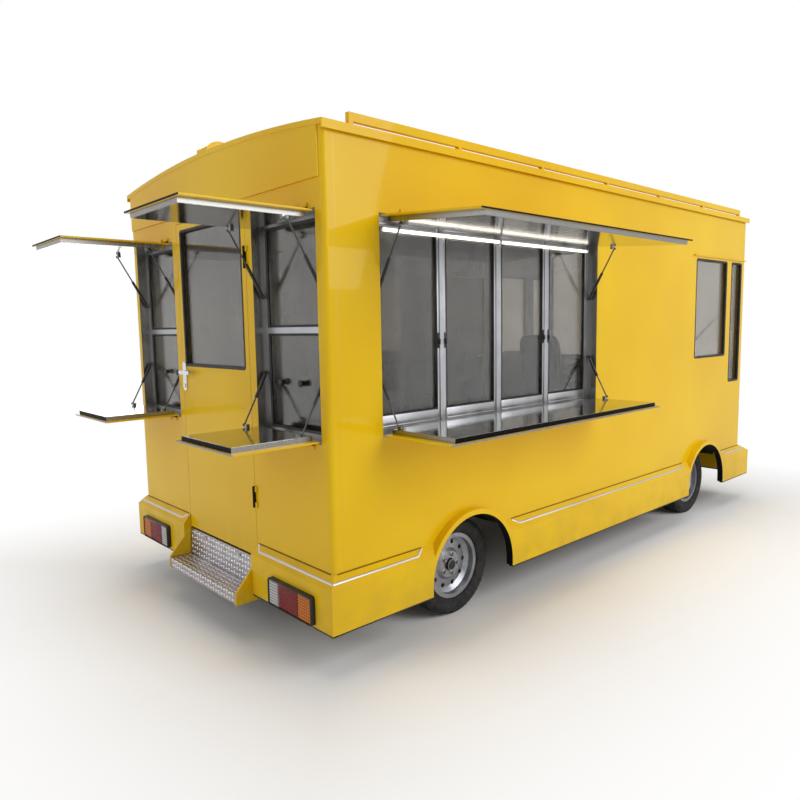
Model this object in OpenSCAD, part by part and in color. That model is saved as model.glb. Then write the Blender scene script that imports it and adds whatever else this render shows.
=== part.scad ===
// Electric food truck: box body with a serving hatch in its right wall, a door between two
// hatches in its rear wall, a cab under the same roof and steered front wheels.
// Millimetres, +X forward, +Y left, +Z up from the ground.

/* [Body] */
// Length of the body from the rear wall's face to the front wall's face
body_length = 4500; // [4300:10:4700]
// Width of the body over its side walls
body_width = 2100; // [2050:10:2200]
// Height of the side walls' top edge
wall_top = 2440; // [2400:5:2500]
// Height of the walls' bottom edge
wall_bottom = 488; // [480:1:496]
// Thickness of the sandwich walls
wall_t = 60; // [58:1:64]
// Radius of the body's upright corners
corner_r = 25; // [10:1:40]
// Height of the seam under the rear wall's gable panel
gable_z = 2233; // [2225:1:2260]
// How far the gable panel stands out of the rear wall
gable_out = 8; // [4:1:12]

/* [Roof] */
// Rise of the roof from its eaves to its crown
roof_rise = 66; // [40:1:100]
// Thickness of the roof panel
roof_t = 24; // [18:1:50]
// Overhang of the roof past the side walls
eave = 20; // [15:1:40]
// Overhang of the roof past the rear and front walls
roof_end = 10; // [9:1:30]
// Depth of the drip lip under each eave
drip_h = 16; // [8:1:24]
// Thickness of the drip lip
drip_t = 8; // [5:1:12]
// Height of the side rails' bar
rail_h = 38; // [25:1:50]
// Thickness of the side rails' bar
rail_t = 24; // [16:1:32]
// Gap between a side rail's bar and the roof at its edge
rail_gap = 14; // [8:1:24]
// Distance of a side rail's ends from the body's ends
rail_end = 150; // [100:5:300]
// Number of posts under each side rail
rail_posts = 7; // [3:1:10]
// Length of the cowl of the roof vent
vent_l = 150; // [100:5:220]
// Width of the cowl of the roof vent
vent_w = 120; // [80:2:160]
// Height of the cowl of the roof vent above the crown
vent_h = 52; // [30:1:70]

/* [Floor and skirt] */
// Height of the floor's top
floor_z = 500; // [495:1:510]
// Thickness of the floor
floor_t = 50; // [40:1:56]
// How far the side skirts and the rear bumper stand out of the walls
skirt_out = 45; // [30:1:60]
// How far the front bumper stands out of the front wall
front_out = 100; // [70:1:130]
// Height of the skirt's upper edge, below its slanted ledge
skirt_top = 436; // [425:1:445]
// Height of the skirt's lower edge
skirt_bottom = 230; // [220:1:245]
// Thickness of the skirt panels
skirt_t = 28; // [20:1:32]
// Thickness of the cheeks beside the rear step
cheek_t = 12; // [8:1:16]
// Height of the cheeks' lower edge
cheek_bottom = 190; // [180:1:200]

/* [Wheels and axles] */
// Distance of the rear axle from the rear wall
rear_axle_x = 906; // [880:2:940]
// Distance of the front axle from the front wall's face
front_overhang = 744; // [710:2:790]
// Tyre diameter under load
tyre_d = 546; // [530:1:560]
// Tyre width
tyre_w = 165; // [150:1:172]
// Distance of the tyres' outer faces from the side walls' outer faces
tyre_inset = 100; // [90:1:120]
// Diameter of the rims' bead seat
rim_d = 330; // [325:1:336]
// Width of the rims between their flanges
rim_w = 124; // [115:1:130]
// Number of vent holes in a wheel disc
vent_holes = 10; // [6:1:14]
// Diameter of the vent holes
vent_hole_d = 26; // [18:1:30]
// Clearance of the wheel arches round the tyres
arch_gap = 45; // [40:1:60]
// Width of the rolled lip round each arch
lip_w = 28; // [16:1:36]
// Greatest steering angle, from straight ahead
steer_max = 28; // [20:1:30]
// Distance of the kingpins inboard of the wheels' middle planes
kingpin_in = 85; // [85:1:95]
// Radius of the kingpins
kingpin_r = 13; // [10:0.5:15]
// Radius of the wheel spindles
spindle_r = 22; // [18:0.5:26]
// Half height of the axle beams
beam_h = 35; // [30:1:38]

/* [Chassis] */
// Distance between the middles of the frame rails
rail_span = 860; // [820:5:900]
// Width of the frame rails
frame_w = 60; // [50:1:70]
// Depth of the frame rails
frame_h = 88; // [80:1:92]
// Gap between the battery pack and the cross member behind it
battery_rear_gap = 315; // [100:5:400]
// Gap between the battery pack and the cross member in front of it
battery_front_gap = 175; // [100:5:300]
// Gap between the battery pack and the frame rails
battery_side_gap = 20; // [10:1:40]
// Depth of the battery pack
battery_h = 200; // [150:5:220]
// Radius of the hole in each towing eye
tow_r = 20; // [15:0.5:24]
// Thickness of the towing eyes
tow_t = 20; // [14:1:26]
// Distance of the towing eyes below the frame rails' middle
tow_drop = 18; // [16:0.5:22]

/* [Hatches] */
// Height of the hatch openings' lower edge
hatch_bottom = 1075; // [1060:1:1090]
// Height of the hatch openings' upper edge
hatch_top = 2110; // [2090:1:2130]
// Width of the serving hatch
serving_w = 1830; // [1700:10:1900]
// Distance of the serving hatch from the rear wall's face
serving_x = 310; // [290:5:330]
// Length of the awning flaps from hinge to edge
awning_l = 600; // [560:1:620]
// Droop of the open serving awning below level
serving_droop = 4.4; // [0:0.1:8]
// Thickness of the flaps' outer skin
skin_t = 8; // [6:1:10]
// Thickness of the flaps' inner tray
tray_t = 22; // [16:1:24]
// Clearance between flaps, doors and their openings
leaf_gap = 3; // [3:0.5:5]
// Radius of the hinges' knuckles
hinge_r = 8; // [6:0.5:9]
// Radius of the hinges' pins
hinge_pin_r = 4; // [3:0.25:4.5]
// Length of one hinge
hinge_l = 110; // [90:2:140]

/* [Gas struts] */
// Distance of the struts' middle plane from the hatch jambs
strut_in = 20; // [19:0.5:24]
// Depth of the strut pivots behind the walls' outer face
strut_depth = 43; // [41:0.5:45]
// Distance of the awning struts' lower pivots below the hatch's top
awning_pivot = 360; // [340:1:380]
// Distance of the awning struts' studs from the hinge
awning_stud = 120; // [110:1:130]
// Length of the awning struts' barrels
awning_barrel = 180; // [175:1:190]
// Distance of the counter struts' upper pivots above the hatch's bottom
counter_pivot = 300; // [285:1:310]
// Distance of the counter struts' studs from the hinge
counter_stud = 80; // [72:1:88]
// Length of the counter struts' barrels
counter_barrel = 135; // [130:1:145]
// Radius of the struts' barrels
barrel_r = 8; // [7:0.25:8.5]
// Radius of the struts' rods
rod_r = 4; // [3:0.25:5]

/* [Doors] */
// Width of the rear door's opening
door_w = 780; // [740:5:800]
// Height of the rear door's sill
door_bottom = 412; // [405:1:420]
// Height of the rear door's head
door_top = 2200; // [2190:1:2215]
// Thickness of the doors
door_t = 40; // [34:1:46]
// Width of the posts between the rear door and the hatches
door_post = 60; // [50:1:80]
// Width of the rear door's side frame round its window
door_stile = 46; // [40:1:60]
// Height of the rear door window's lower edge
door_window_z = 1392; // [1380:1:1420]
// Height of the rear door's lever
handle_z = 1350; // [1300:1:1365]
// Width of the left wall's side door opening
side_door_w = 515; // [480:5:540]
// Distance of the side door's latch edge behind the front axle
side_door_back = 331; // [320:1:380]
// Height of the side door's sill
side_door_bottom = 540; // [530:1:560]
// Height of the side door's head
side_door_top = 2050; // [2000:5:2090]
// Height of the side door's lever
side_handle_z = 1290; // [1200:5:1400]

/* [Windows] */
// Width of the aluminium window frames' members
frame_face = 30; // [24:1:36]
// Depth of the aluminium window frames
frame_deep = 30; // [24:1:36]
// Overlap of the window frames on the walls' inner face
frame_lap = 20; // [14:1:24]
// Height of the crossbar in the rear hatches' frames
crossbar_z = 1585; // [1560:1:1610]
// Thickness of the window glass
glass_t = 6; // [4:1:8]
// Clearance round the window glass
glass_gap = 0.4; // [0.3:0.1:0.8]
// Corner radius of the cab and door windows
window_r = 12; // [6:1:40]
// Width of the cab's rear side windows
cab_window_w = 557; // [500:1:580]
// Distance of the cab's rear side windows from the front wall's face
cab_window_x = 378; // [370:1:420]
// Height of the lower edge of the cab's rear side windows
cab_window_bottom = 1308; // [1250:1:1350]
// Height of the upper edge of the cab's side windows
cab_window_top = 2072; // [2040:1:2100]
// Width of the cab's front side windows
quarter_w = 195; // [160:1:210]
// Distance of the cab's front side windows from the front wall's face
quarter_x = 80; // [75:1:110]
// Height of the lower edge of the cab's front side windows
quarter_bottom = 1080; // [1050:1:1150]
// Height of the windscreen's lower edge
screen_bottom = 1250; // [1200:5:1300]
// Height of the windscreen's upper edge
screen_top = 2330; // [2280:5:2370]
// Width of the front wall beside the windscreen
screen_post = 110; // [90:1:150]
// Corner radius of the windscreen
screen_r = 60; // [20:1:90]

/* [Lamps and step] */
// Width of the tail lamps
tail_w = 370; // [340:5:390]
// Height of the tail lamps
tail_h = 138; // [120:1:145]
// Depth of the lamps in front of what carries them
lamp_out = 26; // [18:1:30]
// Distance of the tail lamps from the body's sides
tail_in = 88; // [80:1:100]
// Height of the tail lamps' lower edge
tail_z = 240; // [236:1:250]
// Width of the headlamps
head_w = 330; // [280:5:360]
// Height of the headlamps
head_h = 150; // [120:1:170]
// Height of the headlamps' lower edge
head_z = 640; // [600:5:700]
// Distance of the headlamps from the body's sides
head_in = 110; // [90:5:150]
// Height of the rear step's tread
tread_z = 250; // [240:1:262]
// Reach of the rear step behind the rear wall
step_out = 140; // [125:1:150]
// Thickness of the rear step's plate
step_t = 4; // [3:0.5:6]

/* [Cab and kitchen] */
// Length of the worktop under the serving hatch
worktop_l = 2080; // [1900:10:2120]
// Depth of the worktop from the right wall's inner face
worktop_deep = 510; // [450:5:550]
// Height of the worktop
worktop_z = 1030; // [1000:1:1035]
// Depth of the dashboard from the front wall's inner face
dash_deep = 230; // [200:5:250]
// Distance of the driver's seat cushion behind the dashboard
knee_room = 169; // [150:1:200]
// Width of the driver's seat
seat_w = 440; // [420:5:460]
// Length of the driver's seat cushion
seat_l = 450; // [430:5:460]
// Distance of the driver's seat left of the truck's middle
seat_y = 380; // [360:5:390]
// Height of the driver's seat cushion's top
seat_z = 930; // [900:5:950]
// Height of the dashboard's top
dash_z = 1060; // [1030:5:1070]
// Diameter of the steering wheel
steering_d = 380; // [360:5:400]

/* [Hidden] */
$fn = 48;
arc_fn = 720;
half_w = body_width / 2;
running = 0.06;
near_gap = 0.3;
hub_z = tyre_d / 2;
front_axle_x = body_length - front_overhang;
axle_xs = [rear_axle_x, front_axle_x];
wheel_y = half_w - tyre_inset - tyre_w / 2;
kingpin_y = wheel_y - kingpin_in;
arch_r = tyre_d / 2 + arch_gap;
under_r = (half_w * half_w + roof_rise * roof_rise) / (2 * roof_rise);
arc_z = wall_top + roof_rise - under_r;
function roof_z(y) = arc_z + sqrt(pow(under_r + roof_t, 2) - y * y);
stud_r = 5;
eye_t = 10;
eye_r = 8;
hatch_h = hatch_top - hatch_bottom;
counter_l = hatch_h - awning_l - 3 * leaf_gap;
rear_hatch_w = half_w - wall_t - door_w / 2 - door_post;
rear_hatch_y = door_w / 2 + door_post + rear_hatch_w / 2;
// Reach of a level awning, and the truck's box at rest, which centre its frame
awning_out = hinge_r + leaf_gap + awning_l;
serving_out = hinge_r + (leaf_gap + awning_l) * cos(serving_droop) - hinge_r * sin(serving_droop);
middle_x = (body_length + front_out - awning_out) / 2;
middle_y = (skirt_out - serving_out) / 2;

// Hatches: place of the middle on the wall's face, turn about Z, width, droop at rest,
// middles of the hinges across the width
SERVING = [[serving_x + serving_w / 2, -half_w], 0, serving_w, serving_droop, [-0.4, 0, 0.4]];
REAR_RIGHT = [[0, -rear_hatch_y], -90, rear_hatch_w, 0, [-0.3, 0.3]];
REAR_LEFT = [[0, rear_hatch_y], -90, rear_hatch_w, 0, [-0.3, 0.3]];
function place(h) = h[0];
function turn(h) = h[1];
function width(h) = h[2];
function droop(h) = h[3];
function hinges(h) = h[4];

screen_w = body_width - 2 * screen_post;
side_door_x = front_axle_x - side_door_back - side_door_w;

// Cab windows in each side wall: distance of the front edge from the front wall's face, width, lower edge
CAB_WINDOWS = [[cab_window_x, cab_window_w, cab_window_bottom], [quarter_x, quarter_w, quarter_bottom]];

// Trays of the flaps: setting in from the hinge and the outer edge, gap beside the struts
tray_edge = 12;
tray_side = 1;
// Brackets of the struts' studs: length across the flap, height along it
bracket_l = 16;
bracket_h = 18;
// Strut pins and studs sink this far into what carries them
pin_root = 8;

paint = "gold";
steel = "silver";
dark = [0.12, 0.12, 0.13];

// Shared placing
module in_frame() {
    translate([-middle_x, -middle_y, 0]) children();
}

module at_hatch(h) {
    in_frame() translate([place(h)[0], place(h)[1], 0]) rotate(turn(h)) children();
}

module both_sides() {
    children();
    mirror([0, 1, 0]) children();
}

// A profile in X and Z, given thickness towards +Y from y
module along_y(y, t) {
    translate([0, y + t, 0]) rotate([90, 0, 0]) linear_extrude(t) children();
}

// A profile in Y and Z, given thickness towards +X from x
module along_x(x, t) {
    translate([x, 0, 0]) rotate([90, 0, 90]) linear_extrude(t) children();
}

module block(low, high) {
    translate(low) cube(high - low);
}

module round_rect(low, high, r) {
    translate([low[0] + r, low[1]]) square([high[0] - low[0] - 2 * r, high[1] - low[1]]);
    translate([low[0], low[1] + r]) square([high[0] - low[0], high[1] - low[1] - 2 * r]);
    for (x = [low[0] + r, high[0] - r], y = [low[1] + r, high[1] - r]) translate([x, y]) circle(r);
}

// Hinge along X at the origin: the leaf lies on the far side of the part it is screwed to
module hinge_fixed(l, up) {
    knuckle = l / 4;
    rotate([0, 90, 0]) cylinder(r = hinge_pin_r, h = l, center = true);
    for (s = [-1, 1]) translate([s * (l - knuckle) / 2, 0, 0]) {
        rotate([0, 90, 0]) cylinder(r = hinge_r, h = knuckle, center = true);
        translate([-knuckle / 2, 0, up > 0 ? 0 : -3 * hinge_r]) cube([knuckle, hinge_r, 3 * hinge_r]);
    }
}

module hinge_moving(l, up) {
    knuckle = l / 2 - 2 * near_gap;
    difference() {
        union() {
            rotate([0, 90, 0]) cylinder(r = hinge_r, h = knuckle, center = true);
            translate([-knuckle / 2, 0, up > 0 ? -3 * hinge_r : 0]) cube([knuckle, hinge_r, 3 * hinge_r]);
        }
        rotate([0, 90, 0]) cylinder(r = hinge_pin_r + running, h = l, center = true);
    }
}

// Where a hatch's strut pivots and ends, as [outward, up] from the flap's hinge axis.
// up is 1 for the awning, whose strut stands below its hinge, and -1 for the counter.
function pivot_at(up) = [-strut_depth - hinge_r, -up * (up > 0 ? awning_pivot : counter_pivot)];
function stud_closed(up) = [-strut_depth - hinge_r, -up * (leaf_gap + (up > 0 ? awning_stud : counter_stud))];
// Turn from shut to open, outward
function opened(p, up, angle) = [p[0] * cos(angle) - up * p[1] * sin(angle),
    up * p[0] * sin(angle) + p[1] * cos(angle)];
function stud_open(up, h) = opened(stud_closed(up), up, 90 - (up > 0 ? droop(h) : 0));
function strut_open(up, h) = norm(stud_open(up, h) - pivot_at(up));
function strut_shut(up) = norm(stud_closed(up) - pivot_at(up));
function strut_lean(up, h) = atan2(stud_open(up, h)[0] - pivot_at(up)[0],
    stud_open(up, h)[1] - pivot_at(up)[1]);

// The hinge axis of an awning or a counter, in its hatch's own directions
module at_hinge(up) {
    translate([0, -hinge_r, up > 0 ? hatch_top : hatch_bottom]) children();
}

// A flap drawn shut below (awning) or above (counter) its hinge axis
module flap_shut(h, l, up) {
    w = width(h) - 2 * leaf_gap;
    tray_w = width(h) - 2 * (2 * strut_in - tray_side);
    low = up > 0 ? -leaf_gap - l : leaf_gap;
    translate([-w / 2, hinge_r, low]) cube([w, skin_t, l]);
    translate([-tray_w / 2, hinge_r + skin_t, low + tray_edge]) cube([tray_w, tray_t, l - 2 * tray_edge]);
    for (m = hinges(h)) translate([m * width(h), 0, 0]) hinge_moving(hinge_l, up);
    stud = stud_closed(up);
    stud_l = strut_in - tray_side - eye_t / 2 - near_gap;
    bracket_low = hinge_r + skin_t + tray_t / 2 + stud[0];
    for (s = [-1, 1]) translate([s * tray_w / 2, -stud[0], stud[1]]) {
        translate([-s * pin_root, 0, 0]) rotate([0, s * 90, 0]) cylinder(r = stud_r, h = stud_l + pin_root);
        translate([s > 0 ? -bracket_l : 0, bracket_low, -bracket_h / 2])
            cube([bracket_l, stud_r - bracket_low, bracket_h]);
    }
}

module awning(h) {
    color(paint) at_hatch(h) at_hinge(1) rotate([droop(h) - 90, 0, 0]) flap_shut(h, awning_l, 1);
}

module counter(h) {
    color(paint) at_hatch(h) at_hinge(-1) rotate([90, 0, 0]) flap_shut(h, counter_l, -1);
}

// Gas struts: length of the barrel's neck and of its lap in the barrel, start of the rod's bore,
// length of the rod inside the open barrel, gap from the rod's tip to its eye's axis
neck_l = 20;
neck_lap = 4;
bore_start = 36;
rod_lap = 20;
rod_tip = 4;

// The two struts of a flap, along +Z from their pivots
module struts(h, up) {
    for (s = [-1, 1]) at_hatch(h) at_hinge(up)
        translate([s * (width(h) / 2 - strut_in), -pivot_at(up)[0], pivot_at(up)[1]])
            rotate([strut_lean(up, h), 0, 0]) children();
}

module barrels(h, up) {
    l = up > 0 ? awning_barrel : counter_barrel;
    shoulder = neck_l - neck_lap;
    color(dark) struts(h, up) difference() {
        union() {
            rotate([0, 90, 0]) cylinder(r = eye_r + 1, h = eye_t, center = true);
            cylinder(r = barrel_r - 2, h = neck_l);
            translate([0, 0, shoulder]) cylinder(r = barrel_r, h = l - shoulder);
        }
        rotate([0, 90, 0]) cylinder(r = hinge_pin_r + running, h = 3 * eye_t, center = true);
        translate([0, 0, bore_start]) cylinder(r = rod_r + running, h = l);
    }
}

module rods(h, up) {
    l = up > 0 ? awning_barrel : counter_barrel;
    eye = strut_open(up, h);
    color(steel) struts(h, up) {
        translate([0, 0, l - rod_lap]) cylinder(r = rod_r, h = eye - l + rod_lap - rod_tip);
        translate([0, 0, eye]) rotate([0, 90, 0]) cylinder(r = eye_r, h = eye_t, center = true);
    }
}

// Fixed to a hatch's wall: hinge leaves and strut pins
module hatch_fixings(h) {
    pin_l = strut_in + eye_t / 2 + 3;
    at_hatch(h) for (up = [1, -1]) at_hinge(up) {
        for (m = hinges(h)) translate([m * width(h), 0, 0]) hinge_fixed(hinge_l, up);
        for (s = [-1, 1])
            translate([s * (width(h) / 2 + pin_root), -pivot_at(up)[0], pivot_at(up)[1]])
                rotate([0, -s * 90, 0]) cylinder(r = hinge_pin_r, h = pin_l + pin_root);
    }
}

module arch_cuts() {
    for (x = axle_xs) translate([x, hub_z]) circle(arch_r);
}

module cab_windows(shrink) {
    for (c = CAB_WINDOWS)
        translate([body_length - c[0] - c[1], 0])
            round_rect([shrink, c[2] + shrink], [c[1] - shrink, cab_window_top - shrink], window_r - shrink);
}

module side_wall_face() {
    difference() {
        translate([wall_t, wall_bottom]) square([body_length - 2 * wall_t, wall_top - wall_bottom]);
        arch_cuts();
        cab_windows(0);
        children();
    }
}

module wall_right() {
    color(paint) {
        in_frame() along_y(-half_w, wall_t) side_wall_face()
            translate([serving_x, hatch_bottom]) square([serving_w, hatch_h]);
        hatch_fixings(SERVING);
    }
}

// Hinges of an upright door on the hinge line at the origin, leaves along X
DOOR_HINGES = [0.18, 0.86];

module wall_left() {
    color(paint) in_frame() {
        along_y(half_w - wall_t, wall_t) side_wall_face()
            translate([side_door_x, side_door_bottom])
                square([side_door_w, side_door_top - side_door_bottom]);
        for (m = DOOR_HINGES)
            translate([side_door_x, half_w + hinge_r, side_door_bottom
                + m * (side_door_top - side_door_bottom)])
                rotate([180, 90, 0]) hinge_fixed(hinge_l, 1);
    }
}

module gable_face(low) {
    intersection() {
        translate([-half_w, low]) square([body_width, wall_top + roof_rise - low]);
        translate([0, arc_z]) circle(under_r, $fn = arc_fn);
    }
}

module plan() {
    linear_extrude(wall_top + roof_rise) round_rect([0, -half_w], [body_length, half_w], corner_r);
}

module wall_rear() {
    color(paint) {
        in_frame() {
            intersection() {
                along_x(0, wall_t) difference() {
                    gable_face(wall_bottom);
                    translate([-door_w / 2, 0]) square([door_w, door_top]);
                    for (s = [-1, 1])
                        translate([s * rear_hatch_y - rear_hatch_w / 2, hatch_bottom])
                            square([rear_hatch_w, hatch_h]);
                }
                plan();
            }
            along_x(-gable_out, gable_out) intersection() {
                gable_face(gable_z);
                square([2 * (half_w - corner_r), 4 * wall_top], center = true);
            }
            for (m = DOOR_HINGES)
                translate([-hinge_r, -door_w / 2, door_bottom + m * (door_top - door_bottom)])
                    rotate([0, -90, -90]) hinge_fixed(hinge_l, -1);
        }
        hatch_fixings(REAR_RIGHT);
        hatch_fixings(REAR_LEFT);
    }
}

module wall_front() {
    color(paint) in_frame() intersection() {
        along_x(body_length - wall_t, wall_t) difference() {
            gable_face(wall_bottom);
            round_rect([-screen_w / 2, screen_bottom], [screen_w / 2, screen_top], screen_r);
        }
        plan();
    }
}

module roof_arc(r) {
    translate([0, arc_z]) circle(r, $fn = arc_fn);
}

module roof() {
    crown = wall_top + roof_rise;
    color(paint) in_frame() {
        along_x(-roof_end, body_length + 2 * roof_end) {
            difference() {
                intersection() {
                    translate([-half_w - eave, wall_top - roof_rise])
                        square([2 * (half_w + eave), 4 * roof_rise]);
                    roof_arc(under_r + roof_t);
                }
                roof_arc(under_r);
            }
            for (s = [-1, 1])
                translate([s * (half_w + eave - drip_t / 2) - drip_t / 2, wall_top - drip_h])
                    square([drip_t, drip_h + roof_t / 2]);
        }
        along_y(-vent_w / 2, vent_w) intersection() {
            translate([vent_l / 2 - roof_end, crown + vent_h - vent_l / 2]) circle(vent_l / 2 + roof_t);
            translate([-roof_end, crown + roof_t / 2]) square([vent_l, vent_h + roof_t / 2]);
        }
    }
}

module roof_rails() {
    bar_z = roof_z(half_w - rail_t) + rail_gap;
    rail_l = body_length - 2 * rail_end;
    pitch = (rail_l - rail_t) / (rail_posts - 1);
    color(paint) in_frame() both_sides() {
        block([rail_end, half_w - rail_t, bar_z], [rail_end + rail_l, half_w, bar_z + rail_h]);
        difference() {
            for (i = [0:rail_posts - 1])
                block([rail_end + i * pitch, half_w - rail_t, wall_top],
                    [rail_end + i * pitch + rail_t, half_w, bar_z]);
            along_x(0, body_length) roof_arc(under_r + roof_t + near_gap);
        }
    }
}

// Wheel boxes over the tyres: room above, past the arches, inside the rear tyres, and past and
// inside the steered front ones; then for each axle its place, half length and inner side
box_t = 8;
box_top = tyre_d + 70;
box_past = 14;
box_inside = 40;
steer_past = 28;
steer_inside = 24;
turned_reach = hub_z * cos(steer_max) + (kingpin_in + tyre_w / 2) * sin(steer_max);
BOXES = [[rear_axle_x, arch_r + box_past, wheel_y - tyre_w / 2 - box_inside],
    [front_axle_x, turned_reach + steer_past, kingpin_y - hub_z * sin(steer_max) - steer_inside]];

module wheel_boxes(grow) {
    for (b = BOXES) both_sides()
        block([b[0] - b[1] - grow, b[2] - grow, 0],
            [b[0] + b[1] + grow, half_w - wall_t, box_top + grow]);
}

module floor() {
    inner_y = half_w - wall_t;
    color("dimgray") in_frame() difference() {
        union() {
            block([wall_t, -inner_y, floor_z - floor_t], [body_length - wall_t, inner_y, floor_z]);
            intersection() {
                wheel_boxes(box_t);
                block([0, -inner_y, floor_z - floor_t], [body_length, inner_y, box_top + box_t]);
            }
        }
        wheel_boxes(0);
    }
}

// Skirt section as [outward, up]
function skirt_section(out) = [[0, wall_bottom], [out, skirt_top], [out, skirt_bottom],
    [out - skirt_t, skirt_bottom], [out - skirt_t, skirt_top - skirt_t / 2],
    [-skirt_t, wall_bottom - skirt_t / 2], [-skirt_t, wall_bottom]];

module lip_cuts(r) {
    for (x = axle_xs) {
        translate([x, -body_width, hub_z]) rotate([-90, 0, 0]) cylinder(r = r, h = 2 * body_width);
        block([x - r, -body_width, 0], [x + r, body_width, hub_z]);
    }
}

// Plan of the right side's skirt between the mitres at its corners
module skirt_right_at() {
    in_frame() difference() {
        intersection() {
            translate([-skirt_out, -half_w, 0]) rotate([90, 0, 90])
                linear_extrude(body_length + skirt_out + front_out)
                    polygon([for (p = skirt_section(skirt_out)) [-p[0], p[1]]]);
            linear_extrude(wall_top) polygon([
                [-skirt_out, -half_w - skirt_out], [skirt_t, -half_w + skirt_t],
                [body_length - skirt_t, -half_w + skirt_t], [body_length, -half_w],
                [body_length + front_out, -half_w - skirt_out]]);
        }
        lip_cuts(arch_r + lip_w);
    }
}

module skirt_right() {
    color(paint) skirt_right_at();
}

module skirt_left() {
    color(paint) translate([0, -2 * middle_y, 0]) mirror([0, 1, 0]) skirt_right_at();
}

module bumper_rear() {
    over = [-step_out - step_t, tread_z + step_t];
    color(paint) in_frame() {
        difference() {
            intersection() {
                along_y(-half_w - skirt_out, body_width + 2 * skirt_out)
                    polygon([for (p = skirt_section(skirt_out)) [-p[0], p[1]]]);
                linear_extrude(wall_top) polygon([
                    [-skirt_out, -half_w - skirt_out], [skirt_t, -half_w + skirt_t],
                    [skirt_t, half_w - skirt_t], [-skirt_out, half_w + skirt_out]]);
            }
            block([-body_width, -door_w / 2 - cheek_t / 2, 0],
                [body_width, door_w / 2 + cheek_t / 2, wall_top]);
        }
        both_sides() {
            along_y(door_w / 2, cheek_t)
                polygon([[0, door_bottom], [over[0] + step_t, over[1]], [over[0], cheek_bottom],
                    [-skirt_out / 2, cheek_bottom], [skirt_t, skirt_bottom], [skirt_t, door_bottom]]);
            along_y(door_w / 2 + leaf_gap, cheek_t - leaf_gap)
                polygon([[0, wall_bottom], [-skirt_out, skirt_top], [-skirt_out, skirt_bottom],
                    [skirt_t, skirt_bottom], [skirt_t, wall_bottom]]);
        }
    }
}

module bumper_front() {
    color(paint) in_frame() intersection() {
        translate([body_length, 0, 0]) along_y(-half_w - skirt_out, body_width + 2 * skirt_out)
            polygon(skirt_section(front_out));
        linear_extrude(wall_top) polygon([
            [body_length + front_out, -half_w - skirt_out], [body_length, -half_w],
            [body_length - skirt_t, -half_w + skirt_t], [body_length - skirt_t, half_w - skirt_t],
            [body_length, half_w], [body_length + front_out, half_w + skirt_out]]);
    }
}

module arch_lips() {
    color(paint) in_frame() both_sides() along_y(-half_w - skirt_out, skirt_out)
        for (x = axle_xs) difference() {
            union() {
                translate([x, hub_z]) circle(arch_r + lip_w);
                translate([x - arch_r - lip_w, skirt_bottom])
                    square([2 * (arch_r + lip_w), hub_z - skirt_bottom]);
            }
            translate([x, hub_z]) circle(arch_r);
            translate([x - arch_r, 0]) square([2 * arch_r, hub_z]);
            translate([x - body_length / 2, skirt_bottom - body_width]) square([body_length, body_width]);
        }
}

// Cross members of the frame: places from the rear axle and from the front one, then from the rear wall
CROSS_REAR = [-800, 480];
CROSS_FRONT = [-620, 560];
CROSS = concat([for (d = CROSS_REAR) rear_axle_x + d], [for (d = CROSS_FRONT) front_axle_x + d]);
cross_lap = 10;
channel_t = 8;
frame_top = floor_z - floor_t;
tow_gap = 5;
tow_reach = 2 * tow_r + tow_gap;

// Towing eye flat under the floor, reaching from a cross member's face at x; way is 1 forward
module tow_eye(x, way) {
    root = frame_w / 4;
    translate([x + way * tow_reach, 0, frame_top - frame_h / 2 - tow_drop - tow_t / 2])
        linear_extrude(tow_t) difference() {
            union() {
                circle(2 * tow_r);
                translate([way > 0 ? -tow_reach - root : 0, -2 * tow_r])
                    square([tow_reach + root, 4 * tow_r]);
            }
            circle(tow_r);
        }
}

module chassis_frame() {
    inner = (rail_span - frame_w) / 2;
    low = frame_top - frame_h;
    end = CROSS[3] + frame_w;
    color(dark) in_frame() {
        both_sides() difference() {
            block([CROSS[0], inner, low], [end, inner + frame_w, frame_top]);
            block([CROSS[0] - 1, inner - 1, low + channel_t],
                [end + 1, inner + frame_w - channel_t, frame_top - channel_t]);
        }
        for (x = CROSS)
            block([x, -inner - cross_lap, low + channel_t],
                [x + frame_w, inner + cross_lap, frame_top - channel_t]);
        tow_eye(CROSS[0], -1);
        tow_eye(end, 1);
    }
}

// Bosses round the kingpins: radius, lap of the beam into them
boss_r = 26;
boss_lap = 8;

module front_axle() {
    beam_end = kingpin_y - boss_r + boss_lap;
    color(dark) in_frame() translate([front_axle_x, 0, hub_z]) {
        block([-beam_h + 5, -beam_end, -beam_h], [beam_h - 5, beam_end, beam_h]);
        for (s = [-1, 1]) translate([0, s * kingpin_y, 0]) {
            cylinder(r = boss_r, h = 2 * beam_h, center = true);
            cylinder(r = kingpin_r, h = 4 * beam_h, center = true);
        }
    }
}

// Hub: how far its ends lie inboard and outboard of the wheel's middle plane
hub_in = 30;
hub_out = 34;
hub_r = 44;
// Gap from the spindle's end to the hub's closed end
spindle_gap = 14;

module rear_axle() {
    tube_end = wheel_y - hub_in - 8;
    case_w = 240;
    case_l = 400;
    color(dark) in_frame() translate([rear_axle_x, 0, hub_z]) rotate([90, 0, 0]) {
        cylinder(r = beam_h, h = 2 * tube_end, center = true);
        cylinder(r = spindle_r, h = 2 * (wheel_y + hub_out - spindle_gap), center = true);
        cylinder(r = 3 * beam_h, h = case_w, center = true);
        cylinder(r = 2.2 * beam_h, h = case_l, center = true);
    }
}

// Spring leaves from the top one: half length, leaf below it is next in the list
LEAVES = [400, 300, 190];
leaf_t = 9;
leaf_w = 50;
leaf_bow = 24;
// Hangers at the springs' ends and bump stops over their middles: widths, gap over the stop
hanger_w = 44;
stop_w = 90;
stop_gap = 12;

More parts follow.
